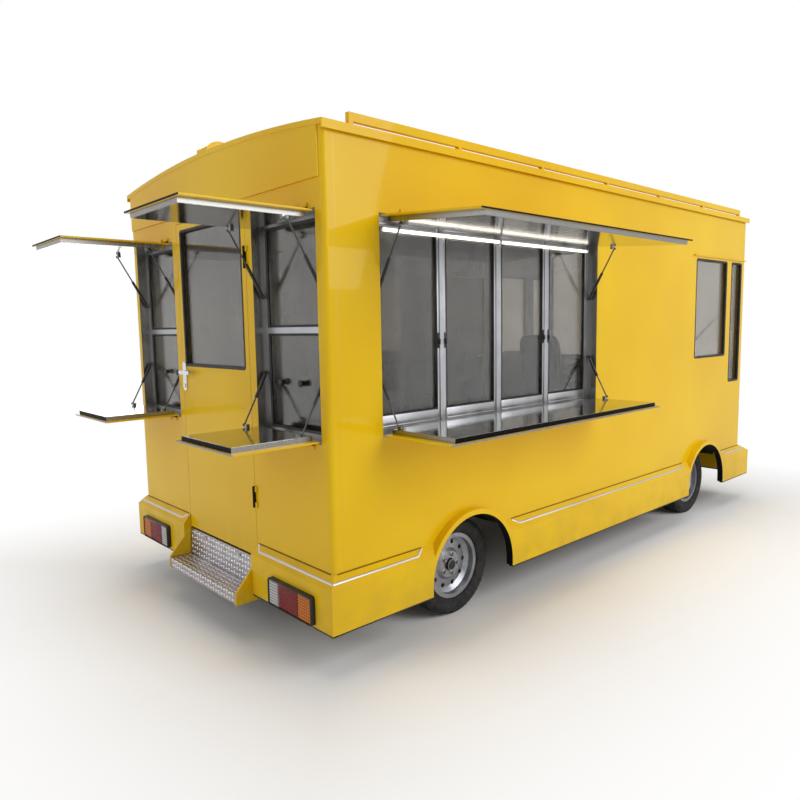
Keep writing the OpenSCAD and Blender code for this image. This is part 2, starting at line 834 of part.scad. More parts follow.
module leaf_springs() {
    spring_z = hub_z + beam_h;
    count = len(LEAVES);
    bow_r = (LEAVES[0] * LEAVES[0] + leaf_bow * leaf_bow) / (2 * leaf_bow);
    pack_t = count * leaf_t;
    room = frame_top - frame_h - spring_z;
    color(dark) in_frame() both_sides() for (x = axle_xs)
        translate([x, 0, spring_z]) along_y(rail_span / 2 - leaf_w / 2, leaf_w) {
            for (i = [0:count - 1]) intersection() {
                difference() {
                    translate([0, bow_r]) circle(bow_r - (count - 1 - i) * leaf_t, $fn = arc_fn);
                    translate([0, bow_r]) circle(bow_r - (count - i) * leaf_t, $fn = arc_fn);
                }
                translate([-LEAVES[i], -leaf_t]) square([2 * LEAVES[i], bow_r]);
            }
            for (s = [-1, 1])
                translate([s * LEAVES[0] - hanger_w / 2, leaf_bow + pack_t / 2])
                    square([hanger_w, room - leaf_bow - pack_t / 2]);
            translate([-stop_w / 2, pack_t - 2]) square([stop_w, room - pack_t - stop_gap]);
        }
}

module battery_pack() {
    low = CROSS[1] + frame_w + battery_rear_gap;
    high = CROSS[2] - battery_front_gap;
    side = rail_span / 2 - frame_w / 2 - battery_side_gap;
    color("dimgray") in_frame() block([low, -side, frame_top - battery_h], [high, side, frame_top]);
}

// Frame of a hatch's window behind the wall: cells between mullions across, split by bars
module hatch_window(h, cells, bars) {
    w = width(h);
    at_hatch(h) translate([0, wall_t, 0]) along_y(0, frame_deep) difference() {
        translate([-w / 2 - frame_lap, hatch_bottom - frame_lap])
            square([w + 2 * frame_lap, hatch_h + 2 * frame_lap]);
        hatch_cells(h, cells, bars, 0);
    }
}

module hatch_cells(h, cells, bars, shrink) {
    pitch = (width(h) - frame_face) / cells;
    levels = concat([hatch_bottom + frame_face / 2], bars, [hatch_top - frame_face / 2]);
    for (i = [0:cells - 1], j = [0:len(levels) - 2])
        translate([-width(h) / 2 + frame_face + i * pitch + shrink, levels[j] + frame_face / 2 + shrink])
            square([pitch - frame_face - 2 * shrink, levels[j + 1] - levels[j] - frame_face - 2 * shrink]);
}

module window_frames() {
    inner_y = half_w - wall_t;
    color(steel) {
        hatch_window(SERVING, 4, []);
        intersection() {
            for (h = [REAR_RIGHT, REAR_LEFT]) hatch_window(h, 1, [crossbar_z]);
            in_frame() block([0, -inner_y, 0], [body_length, inner_y, wall_top]);
        }
    }
}

module hatch_panes(h, cells, bars) {
    at_hatch(h) along_y(wall_t + (frame_deep - glass_t) / 2, glass_t)
        hatch_cells(h, cells, bars, glass_gap);
}

module window_glass() {
    color("lightblue", 0.4) {
        hatch_panes(SERVING, 4, []);
        for (h = [REAR_RIGHT, REAR_LEFT]) hatch_panes(h, 1, [crossbar_z]);
        in_frame() {
            both_sides() along_y(-half_w + wall_t / 3, glass_t) cab_windows(glass_gap);
            along_x(body_length - wall_t / 3, glass_t)
                round_rect([-screen_w / 2 + glass_gap, screen_bottom + glass_gap],
                    [screen_w / 2 - glass_gap, screen_top - glass_gap], screen_r);
        }
    }
}

// Step: gap from its riser to the door and the wall's face, lean of the riser, width of its brackets
riser_gap = 6;
riser_lean = 8;
bracket_w = 40;

module step() {
    half = door_w / 2;
    top = [-riser_gap, door_bottom - riser_gap];
    foot = [-riser_gap - riser_lean, tread_z];
    edge = [-step_out, cheek_bottom + step_t];
    bracket_z = frame_top - frame_h + channel_t + step_t;
    color(steel) in_frame() {
        along_y(-half, door_w) polygon([top, foot, [edge[0], tread_z], edge, edge + [step_t, 0],
            [edge[0] + step_t, tread_z - step_t], foot + [step_t, -step_t], top + [step_t, -step_t],
            [wall_t, top[1] - step_t], [wall_t, top[1]]]);
        for (s = [-1, 1])
            block([foot[0] + step_t / 2, s * half / 2 - bracket_w / 2, bracket_z],
                [CROSS[0], s * half / 2 + bracket_w / 2, bracket_z + bracket_w / 2]);
    }
}

module tail_lamps() {
    color("darkred") in_frame() both_sides() along_x(-skirt_out - lamp_out, lamp_out)
        round_rect([half_w - tail_in - tail_w, tail_z], [half_w - tail_in, tail_z + tail_h], tail_h / 10);
}

module headlamps() {
    color("white") in_frame() both_sides() along_x(body_length, lamp_out)
        round_rect([half_w - head_in - head_w, head_z], [half_w - head_in, head_z + head_h], head_h / 3);
}

module worktop() {
    wall_in = -half_w + wall_t;
    x = wall_t + 40;
    top_t = 40;
    toe_h = 80;
    // Cabinet and plinth: setting in at the ends, setting in at the front, lower edge, upper edge
    rows = [[0, 0, worktop_z - top_t, worktop_z], [10, 20, floor_z + toe_h, worktop_z - top_t],
        [30, 60, floor_z, floor_z + toe_h]];
    color(steel) in_frame() difference() {
        for (r = rows)
            block([x + r[0], wall_in, r[2]], [x + worktop_l - r[0], wall_in + worktop_deep - r[1], r[3]]);
        wheel_boxes(box_t + 1);
    }
}

// Rear face of the dashboard
dash_x = body_length - wall_t - dash_deep;

module driver_seat() {
    x = dash_x - knee_room - seat_l;
    pad_t = 110;
    back_h = 640;
    back_lean = 12;
    back_x = 60;
    // Base: distances of its ends from the cushion's rear edge, and setting in from its sides
    base = [80, 360];
    base_in = 60;
    color(dark) in_frame() translate([x, seat_y, 0]) {
        block([base[0], -seat_w / 2 + base_in, floor_z], [base[1], seat_w / 2 - base_in, seat_z - pad_t / 2]);
        along_y(-seat_w / 2, seat_w) {
            round_rect([0, seat_z - pad_t], [seat_l, seat_z], 40);
            translate([back_x, seat_z - pad_t / 2]) rotate(back_lean)
                round_rect([-pad_t, 0], [0, back_h], 45);
        }
    }
}

module dashboard() {
    side = half_w - wall_t;
    panel_t = 80;
    knee_h = 230;
    knee_r = 110;
    brow_r = 60;
    color(dark) in_frame() along_y(-side, 2 * side) difference() {
        translate([dash_x, floor_z]) square([dash_deep, dash_z - floor_z]);
        translate([dash_x, floor_z - 1]) square([dash_deep - panel_t, dash_z - floor_z - knee_h]);
        translate([dash_x, dash_z - knee_h]) circle(knee_r);
        difference() {
            translate([dash_x - 1, dash_z - brow_r + 1]) square(brow_r);
            translate([dash_x + brow_r, dash_z - brow_r]) circle(brow_r);
        }
    }
}

module steering_wheel() {
    lean = 35;
    hub = [dash_x - 130, seat_y, dash_z + 40];
    column_l = 186;
    rim_r = 14;
    pad_r = 46;
    pad_h = 30;
    spoke_w = 32;
    color(dark) in_frame() translate(hub) rotate([0, -lean, 0]) {
        rotate_extrude() translate([steering_d / 2 - rim_r, 0]) circle(rim_r);
        translate([0, 0, 8 - pad_h]) cylinder(r = pad_r, h = pad_h);
        for (a = [0, 180, 270]) rotate(a)
            block([pad_r - 16, -spoke_w / 2, -12], [steering_d / 2 - rim_r - 2, spoke_w / 2, 4]);
        translate([0, 0, -column_l]) cylinder(r = 28, h = column_l - 20);
    }
}

// Wheel on its axis +Z, outboard up, its middle plane at z = 0
module wheel() {
    seat_r = rim_d / 2;
    rim_half = rim_w / 2;
    wall = 5;
    flange_r = seat_r + 17;
    bolt_r = 74;
    cap_r = 30;
    cap_h = 20;
    disc_z = 12;
    face_z = hub_out + 2;
    difference() {
        union() {
            rotate_extrude() polygon([[seat_r - wall, -rim_half - wall], [flange_r, -rim_half - wall],
                [flange_r, -rim_half], [seat_r, -rim_half], [seat_r, rim_half], [flange_r, rim_half],
                [flange_r, rim_half + wall], [seat_r - wall, rim_half + wall]]);
            rotate_extrude() polygon([[0, face_z - 8], [bolt_r - 14, face_z - 8], [bolt_r + 12, disc_z],
                [seat_r - 30, disc_z - 4], [seat_r - wall / 2, disc_z + 14], [seat_r - wall / 2, disc_z + 22],
                [seat_r - 32, disc_z + 5], [bolt_r + 16, disc_z + 8], [bolt_r, face_z],
                [cap_r, face_z], [cap_r, hub_out + cap_h], [0, hub_out + cap_h]]);
            translate([0, 0, -hub_in]) cylinder(r = hub_r, h = hub_in + hub_out - 4);
        }
        translate([0, 0, -hub_in - 1]) cylinder(r = spindle_r + running, h = hub_in + hub_out - 12);
        for (i = [0:vent_holes - 1]) rotate(i * 360 / vent_holes)
            translate([(bolt_r + seat_r) / 2 + 4, 0, 0]) cylinder(d = vent_hole_d, h = rim_half);
    }
}

module tyre() {
    bead = rim_w / 2 - near_gap;
    bead_h = 40;
    shoulder_r = 34;
    rotate_extrude() {
        translate([rim_d / 2 + near_gap, -bead]) square([bead_h, 2 * bead]);
        round_rect([rim_d / 2 + bead_h / 2, -tyre_w / 2], [tyre_d / 2, tyre_w / 2], shoulder_r);
    }
}

module at_wheel(x, side) {
    in_frame() translate([x, side * wheel_y, hub_z]) rotate([-side * 90, 0, 0]) children();
}

module knuckle(side) {
    eye_h = beam_h - near_gap;
    eye_y = beam_h + near_gap + eye_h / 2;
    web_in = kingpin_in - boss_r - 5;
    web_w = 80;
    arm_w = 44;
    root = 6;
    color(dark) difference() {
        at_wheel(front_axle_x, side) {
            translate([0, 0, -hub_in - root])
                cylinder(r = spindle_r, h = hub_in + root + hub_out - spindle_gap);
            block([-web_w / 2, -2 * beam_h, -web_in], [web_w / 2, 2 * beam_h, -hub_in - near_gap]);
            for (s = [-1, 1]) {
                translate([0, s * eye_y, -kingpin_in]) rotate([90, 0, 0])
                    cylinder(r = boss_r, h = eye_h, center = true);
                translate([0, s * eye_y, -(kingpin_in + web_in) / 2])
                    cube([arm_w, eye_h, kingpin_in - web_in + 2], center = true);
            }
        }
        in_frame() translate([front_axle_x, side * kingpin_y, hub_z])
            cylinder(r = kingpin_r + running, h = 6 * beam_h, center = true);
    }
}

module wheel_at(x, side) {
    color("gray") at_wheel(x, side) wheel();
}

module tyre_at(x, side) {
    color(dark) at_wheel(x, side) tyre();
}

module rear_door() {
    half = door_w / 2 - leaf_gap;
    color(paint) in_frame() {
        along_x(0, door_t) difference() {
            translate([-half, door_bottom + leaf_gap])
                square([2 * half, door_top - door_bottom - 2 * leaf_gap]);
            round_rect([-half + door_stile, door_window_z],
                [half - door_stile, door_top - door_stile], window_r);
        }
        for (m = DOOR_HINGES)
            translate([-hinge_r, -door_w / 2, door_bottom + m * (door_top - door_bottom)])
                rotate([0, -90, -90]) hinge_moving(hinge_l, -1);
    }
}

module rear_door_glass() {
    half = door_w / 2 - leaf_gap;
    color("lightblue", 0.4) in_frame() along_x((door_t - glass_t) / 2, glass_t)
        round_rect([-half + door_stile + glass_gap, door_window_z + glass_gap],
            [half - door_stile - glass_gap, door_top - door_stile - glass_gap], window_r);
}

// Distance of a lever's spindle from its door's latch edge
handle_in = 30;

// Lever handle on its plate, standing out along -Y from the origin, lever along +X
module lever_handle() {
    plate_t = 8;
    plate_r = 22;
    neck_h = 34;
    lever_r = 11;
    lever_l = 120;
    lock_z = -80;
    along_y(-plate_t, plate_t) round_rect([-plate_r, lock_z - 30], [plate_r, 60], plate_r - 2);
    rotate([90, 0, 0]) cylinder(r = lever_r, h = neck_h);
    along_y(-neck_h - 6, 14) round_rect([-lever_r, -lever_r], [lever_l, lever_r], lever_r - 1);
    translate([0, 0, lock_z]) rotate([90, 0, 0]) cylinder(r = 12, h = 14);
}

module rear_door_handle() {
    color(steel) in_frame() translate([0, door_w / 2 - leaf_gap - handle_in, handle_z])
        rotate(-90) lever_handle();
}

module side_door() {
    low = [side_door_x + leaf_gap, side_door_bottom + leaf_gap];
    high = [side_door_x + side_door_w - leaf_gap, side_door_top - leaf_gap];
    color(paint) in_frame() {
        along_y(half_w - door_t, door_t) translate(low) square(high - low);
        for (m = DOOR_HINGES)
            translate([side_door_x, half_w + hinge_r, side_door_bottom
                + m * (side_door_top - side_door_bottom)])
                rotate([180, 90, 0]) hinge_moving(hinge_l, 1);
        translate([high[0] - handle_in, half_w, side_handle_z]) rotate(180) lever_handle();
    }
}

wall_right();
wall_left();
wall_rear();
wall_front();
roof();
roof_rails();
floor();
skirt_right();
skirt_left();
bumper_rear();
bumper_front();
arch_lips();
chassis_frame();
front_axle();
rear_axle();
leaf_springs();
battery_pack();
window_frames();
window_glass();
step();
tail_lamps();
headlamps();
worktop();
driver_seat();
dashboard();
steering_wheel();
knuckle(-1);  // knuckle_right
knuckle(1);  // knuckle_left
wheel_at(front_axle_x, -1);  // wheel_front_right
wheel_at(front_axle_x, 1);  // wheel_front_left
wheel_at(rear_axle_x, -1);  // wheel_rear_right
wheel_at(rear_axle_x, 1);  // wheel_rear_left
tyre_at(front_axle_x, -1);  // tyre_front_right
tyre_at(front_axle_x, 1);  // tyre_front_left
tyre_at(rear_axle_x, -1);  // tyre_rear_right
tyre_at(rear_axle_x, 1);  // tyre_rear_left
rear_door();
rear_door_glass();
rear_door_handle();
side_door();
awning(SERVING);  // serving_awning
barrels(SERVING, 1);  // serving_awning_barrels
rods(SERVING, 1);  // serving_awning_rods
counter(SERVING);  // serving_counter
barrels(SERVING, -1);  // serving_counter_barrels
rods(SERVING, -1);  // serving_counter_rods
awning(REAR_RIGHT);  // rear_right_awning
barrels(REAR_RIGHT, 1);  // rear_right_awning_barrels
rods(REAR_RIGHT, 1);  // rear_right_awning_rods
counter(REAR_RIGHT);  // rear_right_counter
barrels(REAR_RIGHT, -1);  // rear_right_counter_barrels
rods(REAR_RIGHT, -1);  // rear_right_counter_rods
awning(REAR_LEFT);  // rear_left_awning
barrels(REAR_LEFT, 1);  // rear_left_awning_barrels
rods(REAR_LEFT, 1);  // rear_left_awning_rods
counter(REAR_LEFT);  // rear_left_counter
barrels(REAR_LEFT, -1);  // rear_left_counter_barrels
rods(REAR_LEFT, -1);  // rear_left_counter_rods
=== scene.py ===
import math

import bmesh
import bpy
from mathutils import Matrix, Vector


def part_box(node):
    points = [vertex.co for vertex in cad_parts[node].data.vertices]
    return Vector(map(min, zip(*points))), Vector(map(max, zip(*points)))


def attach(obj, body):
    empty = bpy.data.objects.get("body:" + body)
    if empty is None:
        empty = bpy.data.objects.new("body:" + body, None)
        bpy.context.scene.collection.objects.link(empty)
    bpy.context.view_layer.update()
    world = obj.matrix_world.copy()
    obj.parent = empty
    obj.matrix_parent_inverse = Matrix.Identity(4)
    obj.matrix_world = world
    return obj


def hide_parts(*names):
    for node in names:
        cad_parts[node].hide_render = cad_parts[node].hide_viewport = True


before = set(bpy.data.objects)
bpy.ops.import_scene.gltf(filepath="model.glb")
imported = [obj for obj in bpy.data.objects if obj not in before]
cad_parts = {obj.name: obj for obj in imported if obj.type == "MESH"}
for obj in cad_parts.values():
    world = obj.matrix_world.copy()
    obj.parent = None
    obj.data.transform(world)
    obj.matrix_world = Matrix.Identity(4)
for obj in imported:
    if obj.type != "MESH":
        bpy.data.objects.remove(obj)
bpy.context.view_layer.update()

# Chassis: a ladder frame of pressed steel channel on leaf springs, with a beam axle in front and a
# driven axle behind, all sprayed in satin black chassis paint that has gathered road dust.
floor_low, floor_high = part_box("floor")
FLOOR_MIDDLE = 2.25
DATUM = Vector(((floor_low.x + floor_high.x) / 2 - FLOOR_MIDDLE, (floor_low.y + floor_high.y) / 2, 0))
TO_FRAME = Matrix.Translation(DATUM) @ Matrix.Scale(0.001, 4)


def rgb(red, green, blue):
    """A colour as it looks on a screen, 0 to 255, made linear for a shader."""
    parts = [v / 255 for v in (red, green, blue)]
    return tuple(v / 12.92 if v < 0.04045 else ((v + 0.055) / 1.055) ** 2.4 for v in parts) + (1.0,)


class Value:
    """A socket in a node tree. Sums and comparisons on it add Math nodes."""

    def __init__(self, tree, socket):
        self.tree = tree
        self.socket = socket

    def math(self, operation, first, second=0.0):
        return self.tree.add("ShaderNodeMath", {"operation": operation}, {0: first, 1: second})

    def __add__(self, other):
        return self.math("ADD", self, other)

    def __sub__(self, other):
        return self.math("SUBTRACT", self, other)

    def __rsub__(self, other):
        return self.math("SUBTRACT", other, self)

    def __mul__(self, other):
        return self.math("MULTIPLY", self, other)

    def __truediv__(self, other):
        return self.math("DIVIDE", self, other)

    def __mod__(self, other):
        return self.math("FLOORED_MODULO", self, other)

    def __gt__(self, other):
        return self.math("GREATER_THAN", self, other)

    def __lt__(self, other):
        return self.math("LESS_THAN", self, other)

    def __or__(self, other):
        return self.math("MAXIMUM", self, other)

    def __abs__(self):
        return self.math("ABSOLUTE", self)

    __radd__ = __add__
    __rmul__ = __mul__


class Nodes:
    """A node tree that is filled by one call for each node."""

    def __init__(self, tree):
        self.tree = tree

    def put(self, socket, value):
        if isinstance(value, Value):
            self.tree.links.new(value.socket, socket)
        else:
            socket.default_value = value

    def add(self, kind, settings=None, inputs=None, out=0):
        node = self.tree.nodes.new(kind)
        for name, value in (settings or {}).items():
            setattr(node, name, value)
        for name, value in (inputs or {}).items():
            self.put(node.inputs[name], value)
        return Value(self, node.outputs[out]) if node.outputs else node


class Finish(Nodes):
    """A material: one Principled shader and what feeds it. x, y and z are metres on the truck."""

    def __init__(self, name, constants):
        self.material = bpy.data.materials.new(name)
        self.material.use_nodes = True
        super().__init__(self.material.node_tree)
        self.shader = self.tree.nodes["Principled BSDF"]
        self.set(constants)
        raw = self.add("ShaderNodeTexCoord", out="Object")
        self.place = self.add("ShaderNodeVectorMath", {"operation": "SUBTRACT"}, {0: raw, 1: DATUM})
        parts = self.add("ShaderNodeSeparateXYZ", {}, {0: self.place}).socket.node
        self.x, self.y, self.z = (Value(self, o) for o in parts.outputs)

    def set(self, inputs):
        for name, value in inputs.items():
            self.put(self.shader.inputs[name], value)

    def noise(self, scale, detail=3, stretch=None):
        place = self.place
        if stretch:
            place = self.add("ShaderNodeMapping", {}, {"Vector": place, "Scale": stretch})
        return self.add("ShaderNodeTexNoise", {}, {"Vector": place, "Scale": scale, "Detail": detail})

    def ramp(self, value, start, end, low=0.0, high=1.0):
        return self.add("ShaderNodeMapRange", {}, {0: value, 1: start, 2: end, 3: low, 4: high})

    def mix(self, mask, first, second):
        return self.add("ShaderNodeMix", {"data_type": "RGBA"}, {0: mask, 6: first, 7: second}, out=2)

    def bump(self, height, strength, depth):
        made = self.add("ShaderNodeBump", {}, {"Strength": strength, "Distance": depth, "Height": height})
        self.set({"Normal": made})


def dress(finish, *names):
    """Puts a finish on parts that show as they were built."""
    for name in names:
        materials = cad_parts[name].data.materials
        materials.clear()
        materials.append(finish.material)


ROAD_DUST = rgb(126, 112, 92)


def satin_black(name, tone, roughness, dusty):
    made = Finish(name, {"Specular IOR Level": 0.4})
    dirt = made.ramp(made.noise(9, 5), 0.42, 0.75) * dusty
    made.set({"Base Color": made.mix(dirt, rgb(*tone), ROAD_DUST),
              "Roughness": made.ramp(made.noise(30, 4), 0.3, 0.7, roughness - 0.08, roughness + 0.12)})
    made.bump(made.noise(420, 2), 0.25, 0.0004)
    return made


chassis_black = satin_black("chassis_black", (26, 26, 27), 0.45, 0.35)
dress(chassis_black, "chassis_frame", "front_axle", "rear_axle", "leaf_springs",
      "knuckle_right", "knuckle_left")

# Battery case: folded sheet steel, powder coated in dark grey with a fine texture and bolted up
# between the frame rails.
battery_case = satin_black("battery_case", (66, 68, 71), 0.5, 0.5)
dress(battery_case, "battery_pack")

# Wheels: pressed steel discs welded into their rims and sprayed silver grey, each held by five nuts
# round a hub cap painted near black as painted shade for the dark hole at the wheel's centre.
WHEEL_Y = 867.5
HUB_Z = 273
REAR_AXLE_X = 906
FRONT_AXLE_X = 3756
NUT_RING_R = 56
NUT_R = 10.5
NUT_H = 16
WASHER_R = 13
DISC_FACE = 36
WHEELS = [(end, side, x, sign) for end, x in (("front", FRONT_AXLE_X), ("rear", REAR_AXLE_X))
          for side, sign in (("right", -1), ("left", 1))]


def wheel_place(x, sign):
    """Wheel axis up out of its outer face, in the truck's millimetres."""
    return Matrix.Translation((x, sign * WHEEL_Y, HUB_Z)) @ Matrix.Rotation(-sign * math.pi / 2, 4, "X")


def turned(bm, profile, place=Matrix(), steps=64, ring=False):
    """A shape turned on a lathe from (radius, height) pairs, closed on itself where ring is true."""
    rows = []
    for r, h in profile:
        if r == 0:
            rows.append([bm.verts.new(place @ Vector((0, 0, h)))] * steps)
        else:
            turns = [2 * math.pi * i / steps for i in range(steps)]
            rows.append([bm.verts.new(place @ Vector((r * math.cos(t), r * math.sin(t), h))) for t in turns])
    for a, b in zip(rows, rows[1:] + rows[:1] if ring else rows[1:]):
        for i in range(steps):
            corners = list(dict.fromkeys((a[i], a[i - 1], b[i - 1], b[i])))
            if len(corners) > 2:
                bm.faces.new(corners)


def slab(bm, low, high, edge=2.0):
    """A block from its low corner to its high one, with softened edges."""
    made = bmesh.ops.create_cube(bm, size=1)["verts"]
    for v in made:
        v.co = [(a + b) / 2 + c * (b - a) for a, b, c in zip(low, high, v.co)]
    if edge:
        edges = list(dict.fromkeys(e for v in made for e in v.link_edges))
        bmesh.ops.bevel(bm, geom=edges, offset=edge, segments=2, affect="EDGES", profile=0.5)


def facing(at, out, up):
    """Stands a flat pattern up at a point, so that it faces out and its rows rise along up."""
    out, up = Vector(out).normalized(), Vector(up).normalized()
    return Matrix.Translation(at) @ Matrix((up.cross(out), up, out)).transposed().to_4x4()


def make(name, bm, finish, body, replaces=(), sharp=35):
    """Finishes a piece drawn in the truck's millimetres and gives it to the body it moves with."""
    bmesh.ops.recalc_face_normals(bm, faces=bm.faces)
    bm.transform(TO_FRAME)
    for e in bm.edges:
        e.smooth = len(e.link_faces) == 2 and e.calc_face_angle(0) < math.radians(sharp)
    for f in bm.faces:
        f.smooth = True
        f.material_index = 0
    mesh = bpy.data.meshes.new(name)
    bm.to_mesh(mesh)
    bm.free()
    mesh.materials.append(finish.material)
    obj = bpy.data.objects.new(name, mesh)
    bpy.context.collection.objects.link(obj)
    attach(obj, body)
    if replaces:
        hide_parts(*replaces)
    return obj


def spread_tree():
    """Copies of a shape in rows and columns, turned step by step or at every other place."""
    group = bpy.data.node_groups.new("spread", "GeometryNodeTree")
    kinds = {"Shape": "Object", "Columns": "Int", "Rows": "Int", "Pitch X": "Float", "Pitch Y": "Float",
             "Turn Each": "Float", "Turn Odd": "Float", "Finish": "Material"}
    for name, kind in kinds.items():
        group.interface.new_socket(name, in_out="INPUT", socket_type="NodeSocket" + kind)
    group.interface.new_socket("Copies", in_out="OUTPUT", socket_type="NodeSocketGeometry")
    tree = Nodes(group)
    given = tree.add("NodeGroupInput").socket.node
    size = {name: Value(tree, given.outputs[name]) for name in kinds}
    index = tree.add("GeometryNodeInputIndex")
    column = index % size["Columns"]
    row = (index - column) / size["Columns"]
    spot = tree.add("ShaderNodeCombineXYZ", {}, {0: column * size["Pitch X"], 1: row * size["Pitch Y"]})
    angle = index * size["Turn Each"] + (column + row) % 2 * size["Turn Odd"]
    turn = tree.add("ShaderNodeCombineXYZ", {}, {2: angle})
    points = tree.add("GeometryNodePoints", {}, {"Count": size["Columns"] * size["Rows"], "Position": spot})
    shape = tree.add("GeometryNodeObjectInfo", {}, {"Object": size["Shape"]}, out="Geometry")
    copies = tree.add("GeometryNodeInstanceOnPoints", {},
                      {"Points": points, "Instance": shape, "Rotation": turn})
    solid = tree.add("GeometryNodeRealizeInstances", {}, {0: copies})
    shown = tree.add("GeometryNodeSetMaterial", {}, {"Geometry": solid, "Material": size["Finish"]})
    end = tree.tree.nodes.new("NodeGroupOutput")
    tree.put(end.inputs[0], shown)
    return group


SPREAD = spread_tree()


def spread(bm, shape, finish, place=Matrix(), columns=1, rows=1, pitch_x=0.0, pitch_y=0.0,
           each=0.0, odd=0.0):
    """Adds rows of a small shape, laid on the plane that place gives, to a piece's mesh."""
    mesh = bpy.data.meshes.new("shape")
    shape.to_mesh(mesh)
    shape.free()
    pattern = bpy.data.objects.new("shape", mesh)
    holder = bpy.data.objects.new("copies", bpy.data.meshes.new("copies"))
    for o in (pattern, holder):
        bpy.context.collection.objects.link(o)
    modifier = holder.modifiers.new("spread", "NODES")
    modifier.node_group = SPREAD
    sizes = {"Shape": pattern, "Columns": columns, "Rows": rows, "Pitch X": float(pitch_x),
             "Pitch Y": float(pitch_y), "Turn Each": float(each), "Turn Odd": float(odd),
             "Finish": finish.material}
    for item in SPREAD.interface.items_tree:
        if item.in_out == "INPUT":
            modifier[item.identifier] = sizes[item.name]
    copies = bpy.data.meshes.new_from_object(holder.evaluated_get(bpy.context.evaluated_depsgraph_get()))
    holder.modifiers.remove(modifier)
    for o in (pattern, holder):
        bpy.data.objects.remove(o)
    copies.transform(place)
    bm.from_mesh(copies)
    bpy.data.meshes.remove(copies)
    bpy.data.meshes.remove(mesh)


wheel_silver = Finish("wheel_silver", {"Metallic": 0.75, "Coat Weight": 0.25, "Coat Roughness": 0.2})
grime = wheel_silver.ramp(wheel_silver.noise(16, 6), 0.48, 0.72)
wheel_silver.set({"Base Color": wheel_silver.mix(grime * 0.45, rgb(150, 152, 158), rgb(86, 80, 74)),
                  "Roughness": 0.34 + grime * 0.25})
wheel_silver.bump(wheel_silver.noise(500, 2), 0.2, 0.0003)
dress(wheel_silver, *["wheel_%s_%s" % (end, side) for end, side, x, sign in WHEELS])


def bare_metal(name, dark, light, patches, sheen, rough, metallic=1.0):
    """Metal that goes from dark to light in patches, with a gloss that varies with its own sheen."""
    made = Finish(name, {"Metallic": metallic})
    made.set({"Base Color": made.mix(made.noise(*patches), rgb(*dark), rgb(*light)),
              "Roughness": made.ramp(made.noise(*sheen), 0.3, 0.7, *rough)})
    return made


nut_steel = bare_metal("nut_steel", (122, 122, 126), (168, 168, 170), (60, 3), (90, 2), (0.25, 0.45))
# The hub cap is near black: painted shade for the dark hole at the wheel's centre.
hub_black = satin_black("hub_black", (10, 10, 11), 0.45, 0.08)
washer = [(WASHER_R, DISC_FACE), (WASHER_R, DISC_FACE + 2), (NUT_R - 0.5, DISC_FACE + 3.5)]
cap_profile = [(0, 57.5), (16, 57), (24, 55.2), (29, 53), (31.5, 49), (32.5, DISC_FACE + 3),
               (35, DISC_FACE + 0.5), (34, DISC_FACE + 0.2)]
for end, side, x, sign in WHEELS:
    nut = bmesh.new()
    spot = Matrix.Translation((NUT_RING_R, 0, DISC_FACE + NUT_H / 2))
    bmesh.ops.create_cone(nut, cap_ends=True, segments=6, radius1=NUT_R, radius2=NUT_R - 0.5,
                          depth=NUT_H, matrix=spot)
    turned(nut, washer, Matrix.Translation((NUT_RING_R, 0, 0)), 18)
    nuts = bmesh.new()
    spread(nuts, nut, nut_steel, wheel_place(x, sign), columns=5, each=2 * math.pi / 5)
    make("wheel_nuts_%s_%s" % (end, side), nuts, nut_steel, "%s_%s_wheel" % (end, side),
         sharp=20)
    cap = bmesh.new()
    turned(cap, cap_profile, wheel_place(x, sign), 40)
    make("hub_cap_%s_%s" % (end, side), cap, hub_black, "%s_%s_wheel" % (end, side))

# Tyres: black radial tyres with a ribbed side wall and a tread of blocks between four grooves,
# worn grey by dust on the side walls.
TREAD_COUNT = 60
TREAD_BASE = 265.5
TREAD_TOP = 272.6
BLOCK_SPAN = (0.06, 0.86)
BLOCK_LEAN = 0.06
BLOCK_ROOT = 1.5
BLOCK_TRIM = 1.0
CROWN_FALL = 0.035
# Each row of blocks: its two edges across the tread, and its shift round it in pitches.
TREAD_ROWS = [(-70, -47, 0.0), (-42, -17, 0.45), (-12, 12, 0.0), (17, 42, 0.45), (47, 70, 0.0)]
rubber = Finish("tyre_rubber", {"Specular IOR Level": 0.35})
scuff = rubber.ramp(rubber.noise(22, 5), 0.4, 0.75)
rubber.set({"Base Color": rubber.mix(scuff * 0.35, rgb(22, 22, 23), rgb(78, 74, 68)),
            "Roughness": rubber.ramp(rubber.noise(60, 3), 0.3, 0.7, 0.62, 0.85)})
rubber.bump(rubber.noise(700, 2), 0.3, 0.0004)
side_wall = [(166, 57), (178, 58.5), (184, 60), (186, 69), (189, 73.5), (194, 76), (196, 78.5),
             (199, 78.6), (201, 77.4), (212, 80.5), (226, 82), (238, 81.2), (241, 82), (244, 81.6),
             (246, 79.5), (254, 76), (260, 72.5), (264, 68)]
crown = [(TREAD_BASE, h) for h in (60, 30, 0, -30, -60)]
